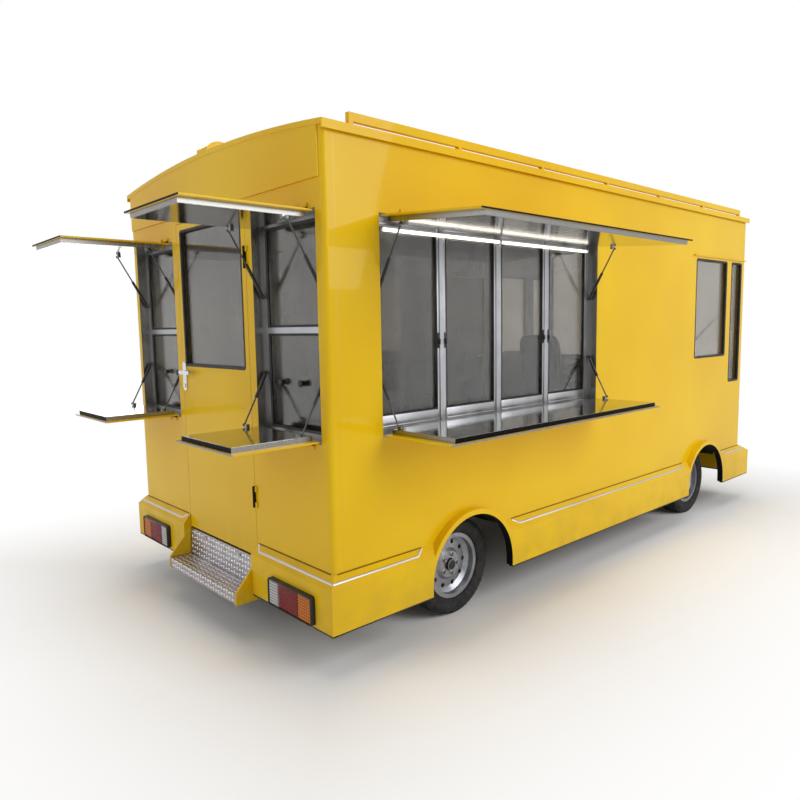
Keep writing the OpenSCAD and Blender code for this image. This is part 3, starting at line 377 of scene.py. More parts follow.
for end, side, x, sign in WHEELS:
    bm = bmesh.new()
    turned(bm, side_wall + crown + [(r, -h) for r, h in side_wall[::-1]], wheel_place(x, sign), 96, ring=True)
    block = bmesh.new()
    pitch = 2 * math.pi / TREAD_COUNT
    for low, high, offset in TREAD_ROWS:
        corners = []
        top = TREAD_TOP - CROWN_FALL * abs(low + high) / 2
        for r, trim in ((TREAD_BASE - BLOCK_ROOT, 0), (top, BLOCK_TRIM)):
            for h, lean in ((low + trim, -BLOCK_LEAN), (high - trim, BLOCK_LEAN)):
                for t in BLOCK_SPAN:
                    a = (t + offset + lean) * pitch
                    corners.append(block.verts.new((r * math.cos(a), r * math.sin(a), h)))
        for face in ((0, 1, 3, 2), (4, 6, 7, 5), (0, 4, 5, 1), (2, 3, 7, 6), (0, 2, 6, 4), (1, 5, 7, 3)):
            block.faces.new([corners[i] for i in face])
    spread(bm, block, rubber, wheel_place(x, sign), columns=TREAD_COUNT, each=pitch)
    make("tyre_tread_%s_%s" % (end, side), bm, rubber, "%s_%s_wheel" % (end, side),
         ["tyre_%s_%s" % (end, side)], sharp=28)

# Kitchen floor: aluminium sheet with a raised five-bar pattern, folded up over the wheel boxes,
# with black underseal on all that faces the road.
# In metres: where the underside of the floor and of the wheel boxes ends, and each pair of wheel
# boxes by its middle along the truck, its half length and its inner side.
FLOOR_UNDER = 0.4985
BOX_UNDER = 0.617
WHEEL_BOXES = [(REAR_AXLE_X / 1000, 0.333, 0.744), (FRONT_AXLE_X / 1000, 0.3487, 0.6293)]
floor_sheet = Finish("floor_sheet", {})
below = floor_sheet.z < FLOOR_UNDER
for middle, half, inner in WHEEL_BOXES:
    in_box = (abs(floor_sheet.x - middle) < half) * (abs(floor_sheet.y) > inner)
    below = below | in_box * (floor_sheet.z < BOX_UNDER)
bars = floor_sheet.add("ShaderNodeTexWave", {"wave_type": "BANDS", "bands_direction": "DIAGONAL"},
                       {"Vector": floor_sheet.place, "Scale": 14, "Distortion": 1.5})
worn = floor_sheet.ramp(floor_sheet.noise(5, 5), 0.4, 0.7)
plain = floor_sheet.mix(worn, rgb(150, 151, 154), rgb(118, 117, 115))
floor_sheet.set({"Base Color": floor_sheet.mix(below, plain, rgb(20, 20, 20)), "Metallic": 1 - below,
                 "Roughness": 0.36 + worn * 0.15 + below * 0.4})
floor_sheet.bump(bars, 0.3, 0.001)
dress(floor_sheet, "floor")

# Body: sandwich panels with a gloss golden yellow skin outside and brushed stainless steel inside,
# glued at rounded corners. The skirts, bumpers, arch lips and roof are moulded in the same yellow.
YELLOW = rgb(230, 189, 4)
YELLOW_DEEP = rgb(220, 176, 2)
STEEL = rgb(158, 156, 152)
STEEL_SHADE = rgb(122, 120, 116)
BLACK = rgb(16, 16, 17)
TRAY_STEEL = rgb(150, 149, 146)
TRAY_SHADE = rgb(128, 127, 124)
HALF_W = 1050
BODY_L = 4500
PANEL_T = 60
ROOF_EDGE = 50
SERVING_X = 310
SERVING_W = 1830
REAR_HATCH_Y = 720
REAR_HATCH_W = 540
HATCH_BOTTOM = 1075
HATCH_TOP = 2110
DOOR_HALF = 390
SIDE_DOOR_X = 2910
GABLE_Z = 2200
ARCH_R = 318.6
BARREL_R = 8.3
SLACK = 0.5


def yellow_paint(name, lined=None, edged=None, steels=(STEEL_SHADE, STEEL)):
    """Gloss yellow; lined gives where steel lining shows on the same panel, edged where black shows: rubber,
    hinge barrels, and painted shade inside the wheel arches.
    """
    made = Finish(name, {"Coat Roughness": 0.04, "Specular IOR Level": 0.1})
    dust = made.ramp(made.z, 0.62, 0.2) * made.ramp(made.noise(7, 5), 0.35, 0.75)
    colour = made.mix(made.ramp(made.noise(0.9, 2), 0.35, 0.65), YELLOW_DEEP, YELLOW)
    colour = made.mix(dust * 0.3, colour, ROAD_DUST)
    rough = 0.3 + dust * 0.3 + made.noise(2.5, 3) * 0.06
    coat = 0.22 - dust * 0.2
    peel = made.noise(260, 2)
    if lined:
        steel = lined(made)
        grain = made.noise(420, 3, (1, 1, 0.03))
        clouds = made.noise(3, 3)
        colour = made.mix(steel, colour, made.mix(grain * 0.25 + clouds * 0.75, *steels))
        rough = rough * (1 - steel) + steel * made.ramp(grain + clouds, 0.7, 1.3, 0.26, 0.32)
        coat = coat * (1 - steel)
        made.set({"Metallic": steel})
    # edged shows black: real rubber and hinge barrels, and on the walls and arch lips also painted shade on
    # the faces inside the wheel arches.
    if edged:
        rubber_and_shade = edged(made)
        colour = made.mix(rubber_and_shade, colour, BLACK)
        rough = rough * (1 - rubber_and_shade) + rubber_and_shade * 0.6
        coat = coat * (1 - rubber_and_shade)
    made.set({"Base Color": colour, "Roughness": rough, "Coat Weight": coat})
    made.bump(peel, 0.05, 0.0004)
    return made


def over(value, size):
    """Where a finish's value in metres is over a size in millimetres."""
    return value > size / 1000


def under(value, size):
    return value < size / 1000


def within(value, low, high):
    return over(value, low) * under(value, high)


def arch_shade(f):
    """Faces that look into a wheel arch, painted black as painted shade for the dark inside of the arch."""
    rise = (f.z - HUB_Z / 1000) | 0.0
    ahead = (abs(f.x - REAR_AXLE_X / 1000) * -1 | abs(f.x - FRONT_AXLE_X / 1000) * -1) * -1
    return (rise * rise + ahead * ahead) < (ARCH_R / 1000) ** 2


def hatch_jamb(f, along, low, high):
    """The sides of a hatch opening from low to high along its wall."""
    return within(along, low - SLACK, high + SLACK) * within(f.z, HATCH_BOTTOM - SLACK, HATCH_TOP + SLACK)


def lined_right(f):
    jamb = hatch_jamb(f, f.x, SERVING_X, SERVING_X + SERVING_W) * over(f.y, SLACK - HALF_W)
    return over(f.y, PANEL_T - HALF_W - SLACK) | jamb


def lined_rear(f):
    edges = (REAR_HATCH_Y - REAR_HATCH_W / 2, REAR_HATCH_Y + REAR_HATCH_W / 2)
    return over(f.x, PANEL_T - SLACK) | hatch_jamb(f, abs(f.y), *edges) * over(f.x, SLACK)


def lined_left(f):
    return under(f.y, HALF_W - PANEL_T + SLACK)


def lined_front(f):
    return under(f.x, BODY_L - PANEL_T + SLACK)


def lined_roof(f):
    upward = f.add("ShaderNodeSeparateXYZ", {}, {0: f.add("ShaderNodeNewGeometry", out="Normal")}, out=2)
    inside = under(abs(f.y), HALF_W - ROOF_EDGE) * within(f.x, ROOF_EDGE, BODY_L - ROOF_EDGE)
    return (upward < -0.5) * inside


def barrel(value, axis):
    """Within a hinge's barrel, whose axis is given in millimetres. The leaves are painted over."""
    return under(abs(value - axis / 1000), BARREL_R)


def hatch_barrels(f):
    return barrel(f.z, HATCH_BOTTOM) | barrel(f.z, HATCH_TOP)


def barrels_and_arch_shade_right(f):
    return under(f.y, -HALF_W - SLACK) * hatch_barrels(f) | arch_shade(f)


def side_hinge(f):
    return over(f.y, HALF_W + SLACK) * barrel(f.x, SIDE_DOOR_X)


def hinge_and_arch_shade_left(f):
    return side_hinge(f) | arch_shade(f)


def barrels_rear(f):
    hinges = hatch_barrels(f) | barrel(f.y, -DOOR_HALF)
    return under(f.x, -SLACK) * under(f.z, GABLE_Z) * hinges


dress(yellow_paint("yellow_right", lined_right, barrels_and_arch_shade_right), "wall_right")
dress(yellow_paint("yellow_left", lined_left, hinge_and_arch_shade_left), "wall_left")
dress(yellow_paint("yellow_rear", lined_rear, barrels_rear), "wall_rear")
dress(yellow_paint("yellow_front", lined_front), "wall_front")
dress(yellow_paint("yellow_roof", lined_roof), "roof")
yellow_plain = yellow_paint("yellow_plain")
dress(yellow_plain, "roof_rails", "skirt_right", "skirt_left", "bumper_rear", "bumper_front")
# The arch lips are painted black where they face into a wheel arch: painted shade for the dark inside of the
# arch.
dress(yellow_paint("yellow_arches", edged=arch_shade), "arch_lips")

# Body mouldings: a bright aluminium strip on the ledge over the skirt, turned up at each wheel arch,
# a painted shadow line in dark yellow along the ledge's joint with the wall, rubber round the skirt's lower
# edge, drip rails over the cab windows.
LEDGE_IN = (0, 488)
LEDGE_OUT = (45, 436)
STRIP_W = 13
STRIP_AT = 0.56
TIP_AT = 0.08
TIP_L = 46
ARCH_TIP = 360
DOOR_TIP = (62, 22)
SHADE_BEAD_END = 20
FRONT_OUT = 100
SKIRT_BOTTOM = 230
SEAL_ARCH = 319
SEAL_SIDE = (1066, 1094)
SEAL_REAR = (-45, -16)
SEAL_STEP = 403
SEAL_FRONT = (70, 99.5)
DRIP_RAIL = (3503, 4490)
DRIP_Z = 2102
scrapes = (24, 4, (0.1, 0.1, 1))
strip_metal = bare_metal("strip_metal", (176, 172, 164), (204, 201, 194), scrapes, scrapes, (0.34, 0.5), 0.9)
black_rubber = satin_black("black_rubber", (18, 18, 19), 0.55, 0.12)


def run(bm, path, section, plane, closed=True):
    """A strip of one section along a flat path, mitred at its corners. In the section the first
    number is across the path and the second along the plane's normal."""
    plane = Vector(plane).normalized()
    path = [Vector(p) for p in path]
    count = len(path)
    rings = []
    for i, p in enumerate(path):
        ends = []
        if closed or i:
            ends.append(p - path[i - 1])
        if closed or i + 1 < count:
            ends.append(path[(i + 1) % count] - p)
        across = [plane.cross(e.normalized()) for e in ends]
        side = sum(across, Vector()).normalized()
        reach = 1 / max(0.25, side.dot(across[0]))
        rings.append([bm.verts.new(p + side * (u * reach) + plane * v) for u, v in section])
    n = len(section)
    for i in range(count if closed else count - 1):
        a, b = rings[i], rings[(i + 1) % count]
        for j in range(n):
            bm.faces.new((a[j], a[j - 1], b[j - 1], b[j]))
    if not closed:
        bm.faces.new(rings[0])
        bm.faces.new(rings[-1][::-1])


slope = Vector((LEDGE_OUT[0] - LEDGE_IN[0], LEDGE_OUT[1] - LEDGE_IN[1]))


def on_ledge(share):
    """Outward reach and height at a share of the way down the ledge."""
    return LEDGE_IN[0] + slope.x * share, LEDGE_IN[1] + slope.y * share


strip_out, strip_z = on_ledge(STRIP_AT)
tip_out, tip_z = on_ledge(TIP_AT)
strip_section = [(-STRIP_W / 2, -1), (-STRIP_W / 2, 1.5), (-STRIP_W / 3, 3),
                 (STRIP_W / 3, 3), (STRIP_W / 2, 1.5), (STRIP_W / 2, -1)]
# The shadow line is a thin dark yellow bead whose colour, mottled by noise, is painted shade for the shadow
# gap where the wall meets the ledge.
joint_filler = Finish("joint_filler", {"Roughness": 0.6, "Specular IOR Level": 0.2})
shade_mottle = joint_filler.noise(30, 3)
joint_filler.set({"Base Color": joint_filler.mix(shade_mottle, rgb(104, 78, 12), rgb(140, 106, 14))})
# Each length of strip along a side, and whether each of its ends turns up at a wheel arch.
strips = [(-strip_out, REAR_AXLE_X - ARCH_TIP, False, True),
          (REAR_AXLE_X + ARCH_TIP, FRONT_AXLE_X - ARCH_TIP, True, True),
          (FRONT_AXLE_X + ARCH_TIP, BODY_L + strip_out, True, False)]
bm = bmesh.new()
shade_bead = bmesh.new()
bead_profile = [(-4, -2), (-4, 2), (-2, 3), (3, 3), (3, -2)]
for sign in (-1, 1):
    for low, high, tip_low, tip_high in strips:
        path = []
        if tip_low:
            path.append((low, sign * (HALF_W + tip_out), tip_z))
        path.append((low + TIP_L * tip_low, sign * (HALF_W + strip_out), strip_z))
        path.append((high - TIP_L * tip_high, sign * (HALF_W + strip_out), strip_z))
        if tip_high:
            path.append((high, sign * (HALF_W + tip_out), tip_z))
        run(bm, path, strip_section, (0, sign * -slope.y, slope.x), closed=False)
        ends = (max(low, SHADE_BEAD_END), min(high, BODY_L - SHADE_BEAD_END))
        run(shade_bead, [(x, sign * HALF_W, LEDGE_IN[1]) for x in ends], bead_profile, (0, sign, 0), closed=False)
    path = [(-strip_out, sign * (HALF_W + strip_out), strip_z),
            (-strip_out, sign * (DOOR_HALF + DOOR_TIP[0]), strip_z),
            (-tip_out, sign * (DOOR_HALF + DOOR_TIP[1]), tip_z)]
    run(bm, path, strip_section, (slope.y, 0, slope.x), closed=False)
    ends = (HALF_W - SHADE_BEAD_END, DOOR_HALF + SHADE_BEAD_END)
    run(shade_bead, [(0, sign * y, LEDGE_IN[1]) for y in ends], bead_profile, (-1, 0, 0), closed=False)
make("ledge_strip", bm, strip_metal, "truck")
make("ledge_joint", shade_bead, joint_filler, "truck")
seal = bmesh.new()


def lower_edge(low_x, high_x, low_y, high_y):
    """A length of rubber under the skirt."""
    slab(seal, (low_x, low_y, SKIRT_BOTTOM - 9), (high_x, high_y, SKIRT_BOTTOM + 2), 3)


for low, high in ((SEAL_REAR[0], REAR_AXLE_X - SEAL_ARCH),
                  (REAR_AXLE_X + SEAL_ARCH, FRONT_AXLE_X - SEAL_ARCH),
                  (FRONT_AXLE_X + SEAL_ARCH, BODY_L + FRONT_OUT - 1)):
    for sign in (-1, 1):
        lower_edge(low, high, *sorted(sign * y for y in SEAL_SIDE))
for sign in (-1, 1):
    lower_edge(*SEAL_REAR, *sorted(sign * y for y in (SEAL_STEP, SEAL_SIDE[1])))
lower_edge(BODY_L + SEAL_FRONT[0], BODY_L + SEAL_FRONT[1], -SEAL_SIDE[1], SEAL_SIDE[1])
make("body_seals", seal, black_rubber, "truck")
bm = bmesh.new()
drip_section = [(-6, -2), (-6, 12), (0, 15), (5, 8), (6, -2)]
for sign in (-1, 1):
    run(bm, [(x, sign * HALF_W, DRIP_Z) for x in DRIP_RAIL], drip_section, (0, sign, 0), closed=False)
make("drip_rails", bm, yellow_plain, "truck")

# Window frames: mill-finish aluminium extrusions screwed behind the hatch openings, with sashes that
# hold the glass in black gaskets. The serving sashes slide; the rear ones have a fixed upper pane.
FRAME_FACE = 30
CROSSBAR_Z = 1585
SASH_FRONT = 63
SASH_BACK = 87
GLASS_FRONT = 71.6
GLASS_BACK = 78.4
aluminium = bare_metal("aluminium", (152, 154, 158), (184, 185, 188), (12, 4), (12, 4), (0.3, 0.42))
dress(aluminium, "window_frames")


def hatch_axes(name):
    """Middle of a hatch on its wall's face, the way across it and the way out of it."""
    if name == "serving":
        return Vector((SERVING_X + SERVING_W / 2, -HALF_W, 0)), Vector((1, 0, 0)), Vector((0, -1, 0))
    sign = -1 if name == "rear_right" else 1
    return Vector((0, sign * REAR_HATCH_Y, 0)), Vector((0, -1, 0)), Vector((-1, 0, 0))


def hatch_point(name, across, depth, z):
    middle, along, out = hatch_axes(name)
    return middle + along * across - out * depth + Vector((0, 0, z))


def hatch_block(bm, name, low, high, edge=1.5):
    """A block in a hatch, given by (across, depth, height) corners."""
    a, b = hatch_point(name, *low), hatch_point(name, *high)
    slab(bm, [min(p) for p in zip(a, b)], [max(p) for p in zip(a, b)], edge)


def pane_loop(name, depth, left, right, low, high):
    """The corners of a pane in a hatch."""
    corners = ((left, low), (right, low), (right, high), (left, high))
    return [hatch_point(name, a, depth, z) for a, z in corners]


SASHES = 4
CELL_PITCH = (SERVING_W - FRAME_FACE) / SASHES
STILE_W = 18
TOP_RAIL = 22
BOTTOM_RAIL = 62
RAIL_NOSE = (6, 12)
frame_low, frame_high = HATCH_BOTTOM + FRAME_FACE, HATCH_TOP - FRAME_FACE
sash = bmesh.new()
gasket = bmesh.new()
sash_bead = [(-1, -1), (-1, 3), (3, 4), (7, 1.5), (7, -1)]
rear_bead = [(-0.5, -8), (-0.5, 4), (4, 5), (11, 1), (11, -8)]


def cell_sides(i):
    """The two sides of a serving sash, across the hatch from its middle."""
    left = -SERVING_W / 2 + FRAME_FACE + i * CELL_PITCH
    return left, left + CELL_PITCH - FRAME_FACE


for i in range(SASHES):
    left, right = cell_sides(i)
    pane_left, pane_right = left + STILE_W, right - STILE_W
    pane_low, pane_high = frame_low + BOTTOM_RAIL, frame_high - TOP_RAIL
    for front, back in ((SASH_FRONT, GLASS_FRONT), (GLASS_BACK, SASH_BACK)):
        for a, b in ((left, pane_left), (pane_right, right)):
            hatch_block(sash, "serving", (a, front, frame_low), (b, back, frame_high))
        for low, high in ((frame_low, pane_low), (pane_high, frame_high)):
            hatch_block(sash, "serving", (pane_left, front, low), (pane_right, back, high))
    hatch_block(sash, "serving", (pane_left, SASH_FRONT - 4, frame_low + RAIL_NOSE[0]),
                (pane_right, SASH_FRONT + 1, frame_low + RAIL_NOSE[1]), 1)
    run(gasket, pane_loop("serving", SASH_FRONT + 2, pane_left, pane_right, pane_low, pane_high),
        sash_bead, (0, -1, 0))
half = REAR_HATCH_W / 2 - FRAME_FACE
for name in ("rear_right", "rear_left"):
    for low, high in ((frame_low, CROSSBAR_Z - FRAME_FACE / 2), (CROSSBAR_Z + FRAME_FACE / 2, frame_high)):
        run(gasket, pane_loop(name, GLASS_FRONT - 9, -half, half, low, high), rear_bead, (-1, 0, 0))
make("serving_sashes", sash, aluminium, "truck")
make("window_gaskets", gasket, black_rubber, "truck")

# Latches: black plastic catches screwed to the serving sashes where they meet, and round plastic
# knobs on the rear sliding panes.
CATCH_Z = (1480, 1560)
THUMB_Z = (1500, 1528)
KNOB_Y = (587, 756)
KNOB_Z = 1334
moulded_black = satin_black("moulded_black", (24, 24, 25), 0.42, 0.08)
bm = bmesh.new()
for i in range(SASHES):
    left, right = cell_sides(i)
    at = right - STILE_W / 2 if i % 2 == 0 else left + STILE_W / 2
    hatch_block(bm, "serving", (at - 7, SASH_FRONT - 6, CATCH_Z[0]),
                (at + 7, SASH_FRONT + 0.5, CATCH_Z[1]), 2.5)
    hatch_block(bm, "serving", (at - 4, SASH_FRONT - 14, THUMB_Z[0]),
                (at + 4, SASH_FRONT - 5, THUMB_Z[1]), 2)
knob = [(0, 0), (14, 0), (14, 3), (8, 5), (8, 11), (15, 13), (17, 16), (17, 22), (14, 25), (0, 26)]
for sign in (-1, 1):
    for y in KNOB_Y:
        place = Matrix.Translation((GLASS_FRONT, sign * y, KNOB_Z)) @ Matrix.Rotation(-math.pi / 2, 4, "Y")
        turned(bm, knob, place, 28)
make("window_latches", bm, moulded_black, "truck")

# Glass: toughened panes with a light bronze tint, held in the gaskets, with a thin film of dust and
# wiping marks.
def glazing(name, tone, body):
    """Glass of a tone; body is the share of it that is seen and not looked straight through."""
    made = Finish(name, {"Base Color": tone, "Transmission Weight": 1.0, "IOR": 1.48,
                         "Specular IOR Level": 0.6})
    smear = made.ramp(made.noise(3.5, 5, (1, 1, 0.4)), 0.45, 0.8)
    made.set({"Roughness": 0.01 + smear * 0.05, "Alpha": body + smear * 0.1})
    return made


dress(glazing("tinted_glass", rgb(150, 142, 128), 0.62), "window_glass", "rear_door_glass")

# Cab glazing rubbers: black profiles that hold the side windows and the windscreen in their walls,
# with a filler bead, and the wipers below the screen.
CAB_WINDOWS = [(3565, 4122, 1308, 2072), (4225, 4420, 1080, 2072)]
WINDOW_R = 12
SCREEN = (-940, 940, 1250, 2330)
SCREEN_R = 60
WIPER_Y = (-430, 470)
WIPER_Z = 1205


def rounded(low_a, high_a, low_b, high_b, r, steps=6):
    """Corner-rounded outline of a window as pairs, anticlockwise."""
    out = []
    for a, b, start in ((high_a - r, low_b + r, -90), (high_a - r, high_b - r, 0),
                        (low_a + r, high_b - r, 90), (low_a + r, low_b + r, 180)):
        for i in range(steps + 1):
            t = math.radians(start + 90 * i / steps)
            out.append((a + r * math.cos(t), b + r * math.sin(t)))
    return out


rubber_lip = [(7, -20), (7, -2), (4, 1), (-5, 3), (-8, 2), (-9, 0.2), (0.5, 0.2), (0.5, -20)]
screen_lip = [(14, -20), (14, 0), (8, 6), (-18, 9), (-30, 5), (-31, 0.2), (0.5, 0.2), (0.5, -20)]
bm = bmesh.new()
for sign in (-1, 1):
    for window in CAB_WINDOWS:
        outline = rounded(*window, WINDOW_R)
        if sign > 0:
            outline = outline[::-1]
        run(bm, [(x, sign * HALF_W, z) for x, z in outline], rubber_lip, (0, sign, 0))
run(bm, [(BODY_L, y, z) for y, z in rounded(*SCREEN, SCREEN_R, 8)], screen_lip, (1, 0, 0))
make("cab_rubbers", bm, black_rubber, "truck")
bm = bmesh.new()
along_x = Matrix.Rotation(math.pi / 2, 4, "Y")
spindle = [(0, 26), (12, 25), (16, 20), (17, 0)]
arm_section = [(-6, -3), (-6, 3), (6, 3), (6, -3)]
blade_section = [(-5, -10), (-5, 3), (-2, 8), (2, 8), (5, 3), (5, -10)]
for y in WIPER_Y:
    turned(bm, spindle, Matrix.Translation((BODY_L, y, WIPER_Z)) @ along_x, 24)
    arm = [(BODY_L + 20, y, WIPER_Z), (BODY_L + 20, y - 90, WIPER_Z + 125),
           (BODY_L + 12, y - 330, WIPER_Z + 355)]
    run(bm, arm, arm_section, (1, 0, 0), closed=False)
    blade = [(BODY_L + 6, y - 120, WIPER_Z + 120), (BODY_L + 6, y - 540, WIPER_Z + 585)]
    run(bm, blade, blade_section, (1, 0, 0), closed=False)
make("wipers", bm, moulded_black, "truck")

# Hatch flaps: each is a yellow skin over an aluminium tray, with a polished stainless lining inside,
# a black rubber along the outer edge and a row of screws. They hang on hinges and gas struts.
HINGE_R = 8
SKIN_T = 8
TRAY_T = 22
LEAF_GAP = 3
TRAY_IN = 39
TRAY_END = 12
LINING_IN = 3
LINING_T = 1.4
SCREW_IN = 60
AWNING_L = 600
COUNTER_L = 426
DROOP = {"serving": math.radians(4.4), "rear_right": 0.0, "rear_left": 0.0}
WIDTH = {"serving": SERVING_W, "rear_right": REAR_HATCH_W, "rear_left": REAR_HATCH_W}


class Flap:
    """A flap's own directions: across it, out from its hinge, and down to its inner face."""

    def __init__(self, hatch, kind):
        self.name = "%s_%s" % (hatch, kind)
        self.width = WIDTH[hatch]
        self.length = AWNING_L if kind == "awning" else COUNTER_L
        self.upper = kind == "awning"
        middle, self.across, out = hatch_axes(hatch)
        up = Vector((0, 0, 1))
        droop = DROOP[hatch] if self.upper else 0
        self.origin = middle + out * HINGE_R + up * (HATCH_TOP if self.upper else HATCH_BOTTOM)
        self.out = out * math.cos(droop) - up * math.sin(droop)
        self.inner = -up * math.cos(droop) - out * math.sin(droop) if self.upper else up

    def point(self, w, a, d):
        return self.origin + self.across * w + self.out * a + self.inner * d

    def block(self, bm, low, high, edge):
        start = len(bm.verts)
        slab(bm, low, high, edge)
        bm.verts.ensure_lookup_table()
        for v in bm.verts[start:]:
            v.co = self.point(*v.co)

    def reach(self, f, direction):
        """Distance from the hinge axis along a direction, in metres, as a finish's value."""
        whole = self.origin.dot(direction) / 1000
        parts = [axis * part for axis, part in zip((f.x, f.y, f.z), direction) if abs(part) > 1e-6]
        return sum(parts[1:], parts[0]) - whole


FLAPS = [Flap(hatch, kind) for hatch in WIDTH for kind in ("awning", "counter")]
screw_head = [(0, 2.4), (2, 2.2), (3.6, 1.2), (4.2, 0), (4.2, -1)]
polished = bare_metal("polished_steel", (176, 174, 170), (206, 204, 200), (5, 2), (40, 4), (0.07, 0.16))
polished.bump(polished.noise(5, 2), 0.12, 0.004)
for flap in FLAPS:
    far = (LEAF_GAP + flap.length - 1) / 1000
    skin = (HINGE_R + SKIN_T + 0.3) / 1000

    def tray_shows(f, flap=flap, skin=skin, far=far):
        inside = flap.reach(f, flap.inner) > skin
        return inside if flap.upper else inside | (flap.reach(f, flap.out) > far)

    def edge_shows(f, flap=flap, skin=skin, far=far):
        at_end = flap.reach(f, flap.out) > far - (0 if flap.upper else TRAY_END / 1000)
        deep = flap.reach(f, flap.inner)
        hinge = under(deep, HINGE_R - 0.3) * under(flap.reach(f, flap.out), BARREL_R)
        return at_end * ((deep < skin) if flap.upper else (deep > skin)) | hinge

    dress(yellow_paint("yellow_" + flap.name, tray_shows, edge_shows, (TRAY_SHADE, TRAY_STEEL)), flap.name)
    tray_half = flap.width / 2 - TRAY_IN
    tray_far = LEAF_GAP + flap.length - TRAY_END
    face = HINGE_R + SKIN_T + TRAY_T
    bm = bmesh.new()
    flap.block(bm, (-tray_half + LINING_IN, LEAF_GAP + TRAY_END + LINING_IN, face),
               (tray_half - LINING_IN, tray_far - LINING_IN, face + LINING_T), 0.6)
    make(flap.name + "_lining", bm, polished, flap.name, sharp=10)
    bm = bmesh.new()
    count = 7 if flap.width == SERVING_W else 3
    pitch = 2 * (tray_half - SCREW_IN) / (count - 1)
    head = bmesh.new()
    turned(head, screw_head, Matrix(), 12)
    turn = Matrix((flap.across, flap.inner.cross(flap.across) * -1, flap.out)).transposed().to_4x4()
    corner = flap.point(-tray_half + SCREW_IN, tray_far, HINGE_R + SKIN_T + TRAY_T * 0.5)
    spread(bm, head, nut_steel, Matrix.Translation(corner) @ turn, columns=count, pitch_x=pitch)
    make(flap.name + "_screws", bm, nut_steel, flap.name)

# Gas struts: black lacquered steel barrels pinned to the jambs, with hard nitrided rods, nearly black,
# whose eyes sit on studs in the flaps' trays.
strut_black = satin_black("strut_black", (18, 18, 19), 0.32, 0.1)
nitrided = bare_metal("nitrided", (56, 56, 58), (84, 84, 86), (30, 3), (80, 3), (0.14, 0.24))
for flap in FLAPS:
    dress(strut_black, flap.name + "_barrels")
    dress(nitrided, flap.name + "_rods")

# Serving lights: a white tube lamp held in aluminium clips under the hatch head, and another along
# the kitchen ceiling. Each tube is given by where it starts, its length and its radius.
TUBES = [((355, 50 - HALF_W, 2046), 1740, 9), ((500, 0, 2484), 2600, 16)]
CLIP_X = (352, 1220, 2085)
CLIP_W = 14
CLIP_DEPTH = (38, 62)
CLIP_Z = (2033, 2058)
lamp_white = Finish("lamp_white", {"Roughness": 0.3, "Emission Strength": 1.6})
glow = lamp_white.ramp(lamp_white.noise(20, 2), 0.2, 0.8)
lamp_white.set({"Base Color": lamp_white.mix(glow, rgb(236, 236, 230), rgb(250, 250, 246)),
                "Emission Color": lamp_white.mix(glow, rgb(255, 244, 226), rgb(255, 250, 240))})
bm = bmesh.new()
for at, length, r in TUBES:
    turned(bm, [(0, 0), (r, 0), (r, length), (0, length)], Matrix.Translation(at) @ along_x, 16)
make("serving_lights", bm, lamp_white, "truck")
bm = bmesh.new()
for x in CLIP_X:
    slab(bm, (x, -HALF_W + CLIP_DEPTH[0], CLIP_Z[0]), (x + CLIP_W, -HALF_W + CLIP_DEPTH[1], CLIP_Z[1]), 2)
make("light_clips", bm, aluminium, "truck")

# Rear door: a yellow sandwich leaf with a stainless inner face, a window held in black rubber, a
# chromed lever with its lock, and a rubber seal round the leaf's edge.
DOOR_T = 40
DOOR_SEAL_X = 4
DOOR_WINDOW = (-341, 341, 1392, 2154)


def door_lined(f):
    return over(f.x, DOOR_T - SLACK)


def door_edge(f):
    seal_shows = over(abs(f.y), DOOR_HALF - LEAF_GAP - SLACK) * within(f.x, DOOR_SEAL_X, DOOR_T - SLACK)
    return seal_shows | under(f.x, -SLACK) * barrel(f.y, -DOOR_HALF)


chrome = bare_metal("chrome", (196, 196, 198), (226, 226, 228), (30, 3), (80, 3), (0.06, 0.16))
dress(yellow_paint("yellow_door", door_lined, door_edge), "rear_door")
dress(chrome, "rear_door_handle")
bm = bmesh.new()
outline = rounded(*DOOR_WINDOW, WINDOW_R)
door_lip = [(7, -16.5), (7, 0), (4, 2), (-4, 3), (-7, 2), (-8, 0.2), (0.3, 0.2), (0.3, -16.5)]
run(bm, [(0, y, z) for y, z in outline[::-1]], door_lip, (-1, 0, 0))
run(bm, [(DOOR_T, y, z) for y, z in outline], door_lip, (1, 0, 0))
make("door_window_rubber", bm, black_rubber, "rear_door")

# Side door: the same sandwich leaf without a window, with a chromed lever and a round lock screwed
# to its inner face.
LEVER_X = 3392
LEVER_Z = 1290
LOCK_DROP = 80
side_inner = HALF_W - DOOR_T


def side_lined(f):
    return within(f.y, 0, side_inner + SLACK)


dress(yellow_paint("yellow_side_door", side_lined, side_hinge), "side_door")
bm = bmesh.new()
rose = [(0, 0), (24, 0), (24, 5), (21, 8), (11, 9), (11, 36), (0, 36)]
lock = [(0, 0), (17, 0), (17, 4), (13, 7), (0, 7)]
lever = Matrix.Translation((LEVER_X, side_inner, LEVER_Z)) @ Matrix.Rotation(math.pi / 2, 4, "X")
turned(bm, rose, lever, 28)
slab(bm, (LEVER_X - 118, side_inner - 42, LEVER_Z - 11), (LEVER_X + 10, side_inner - 28, LEVER_Z + 11), 5)
turned(bm, lock, Matrix.Translation((0, 0, -LOCK_DROP)) @ lever, 24)
make("side_door_lever", bm, chrome, "side_door")

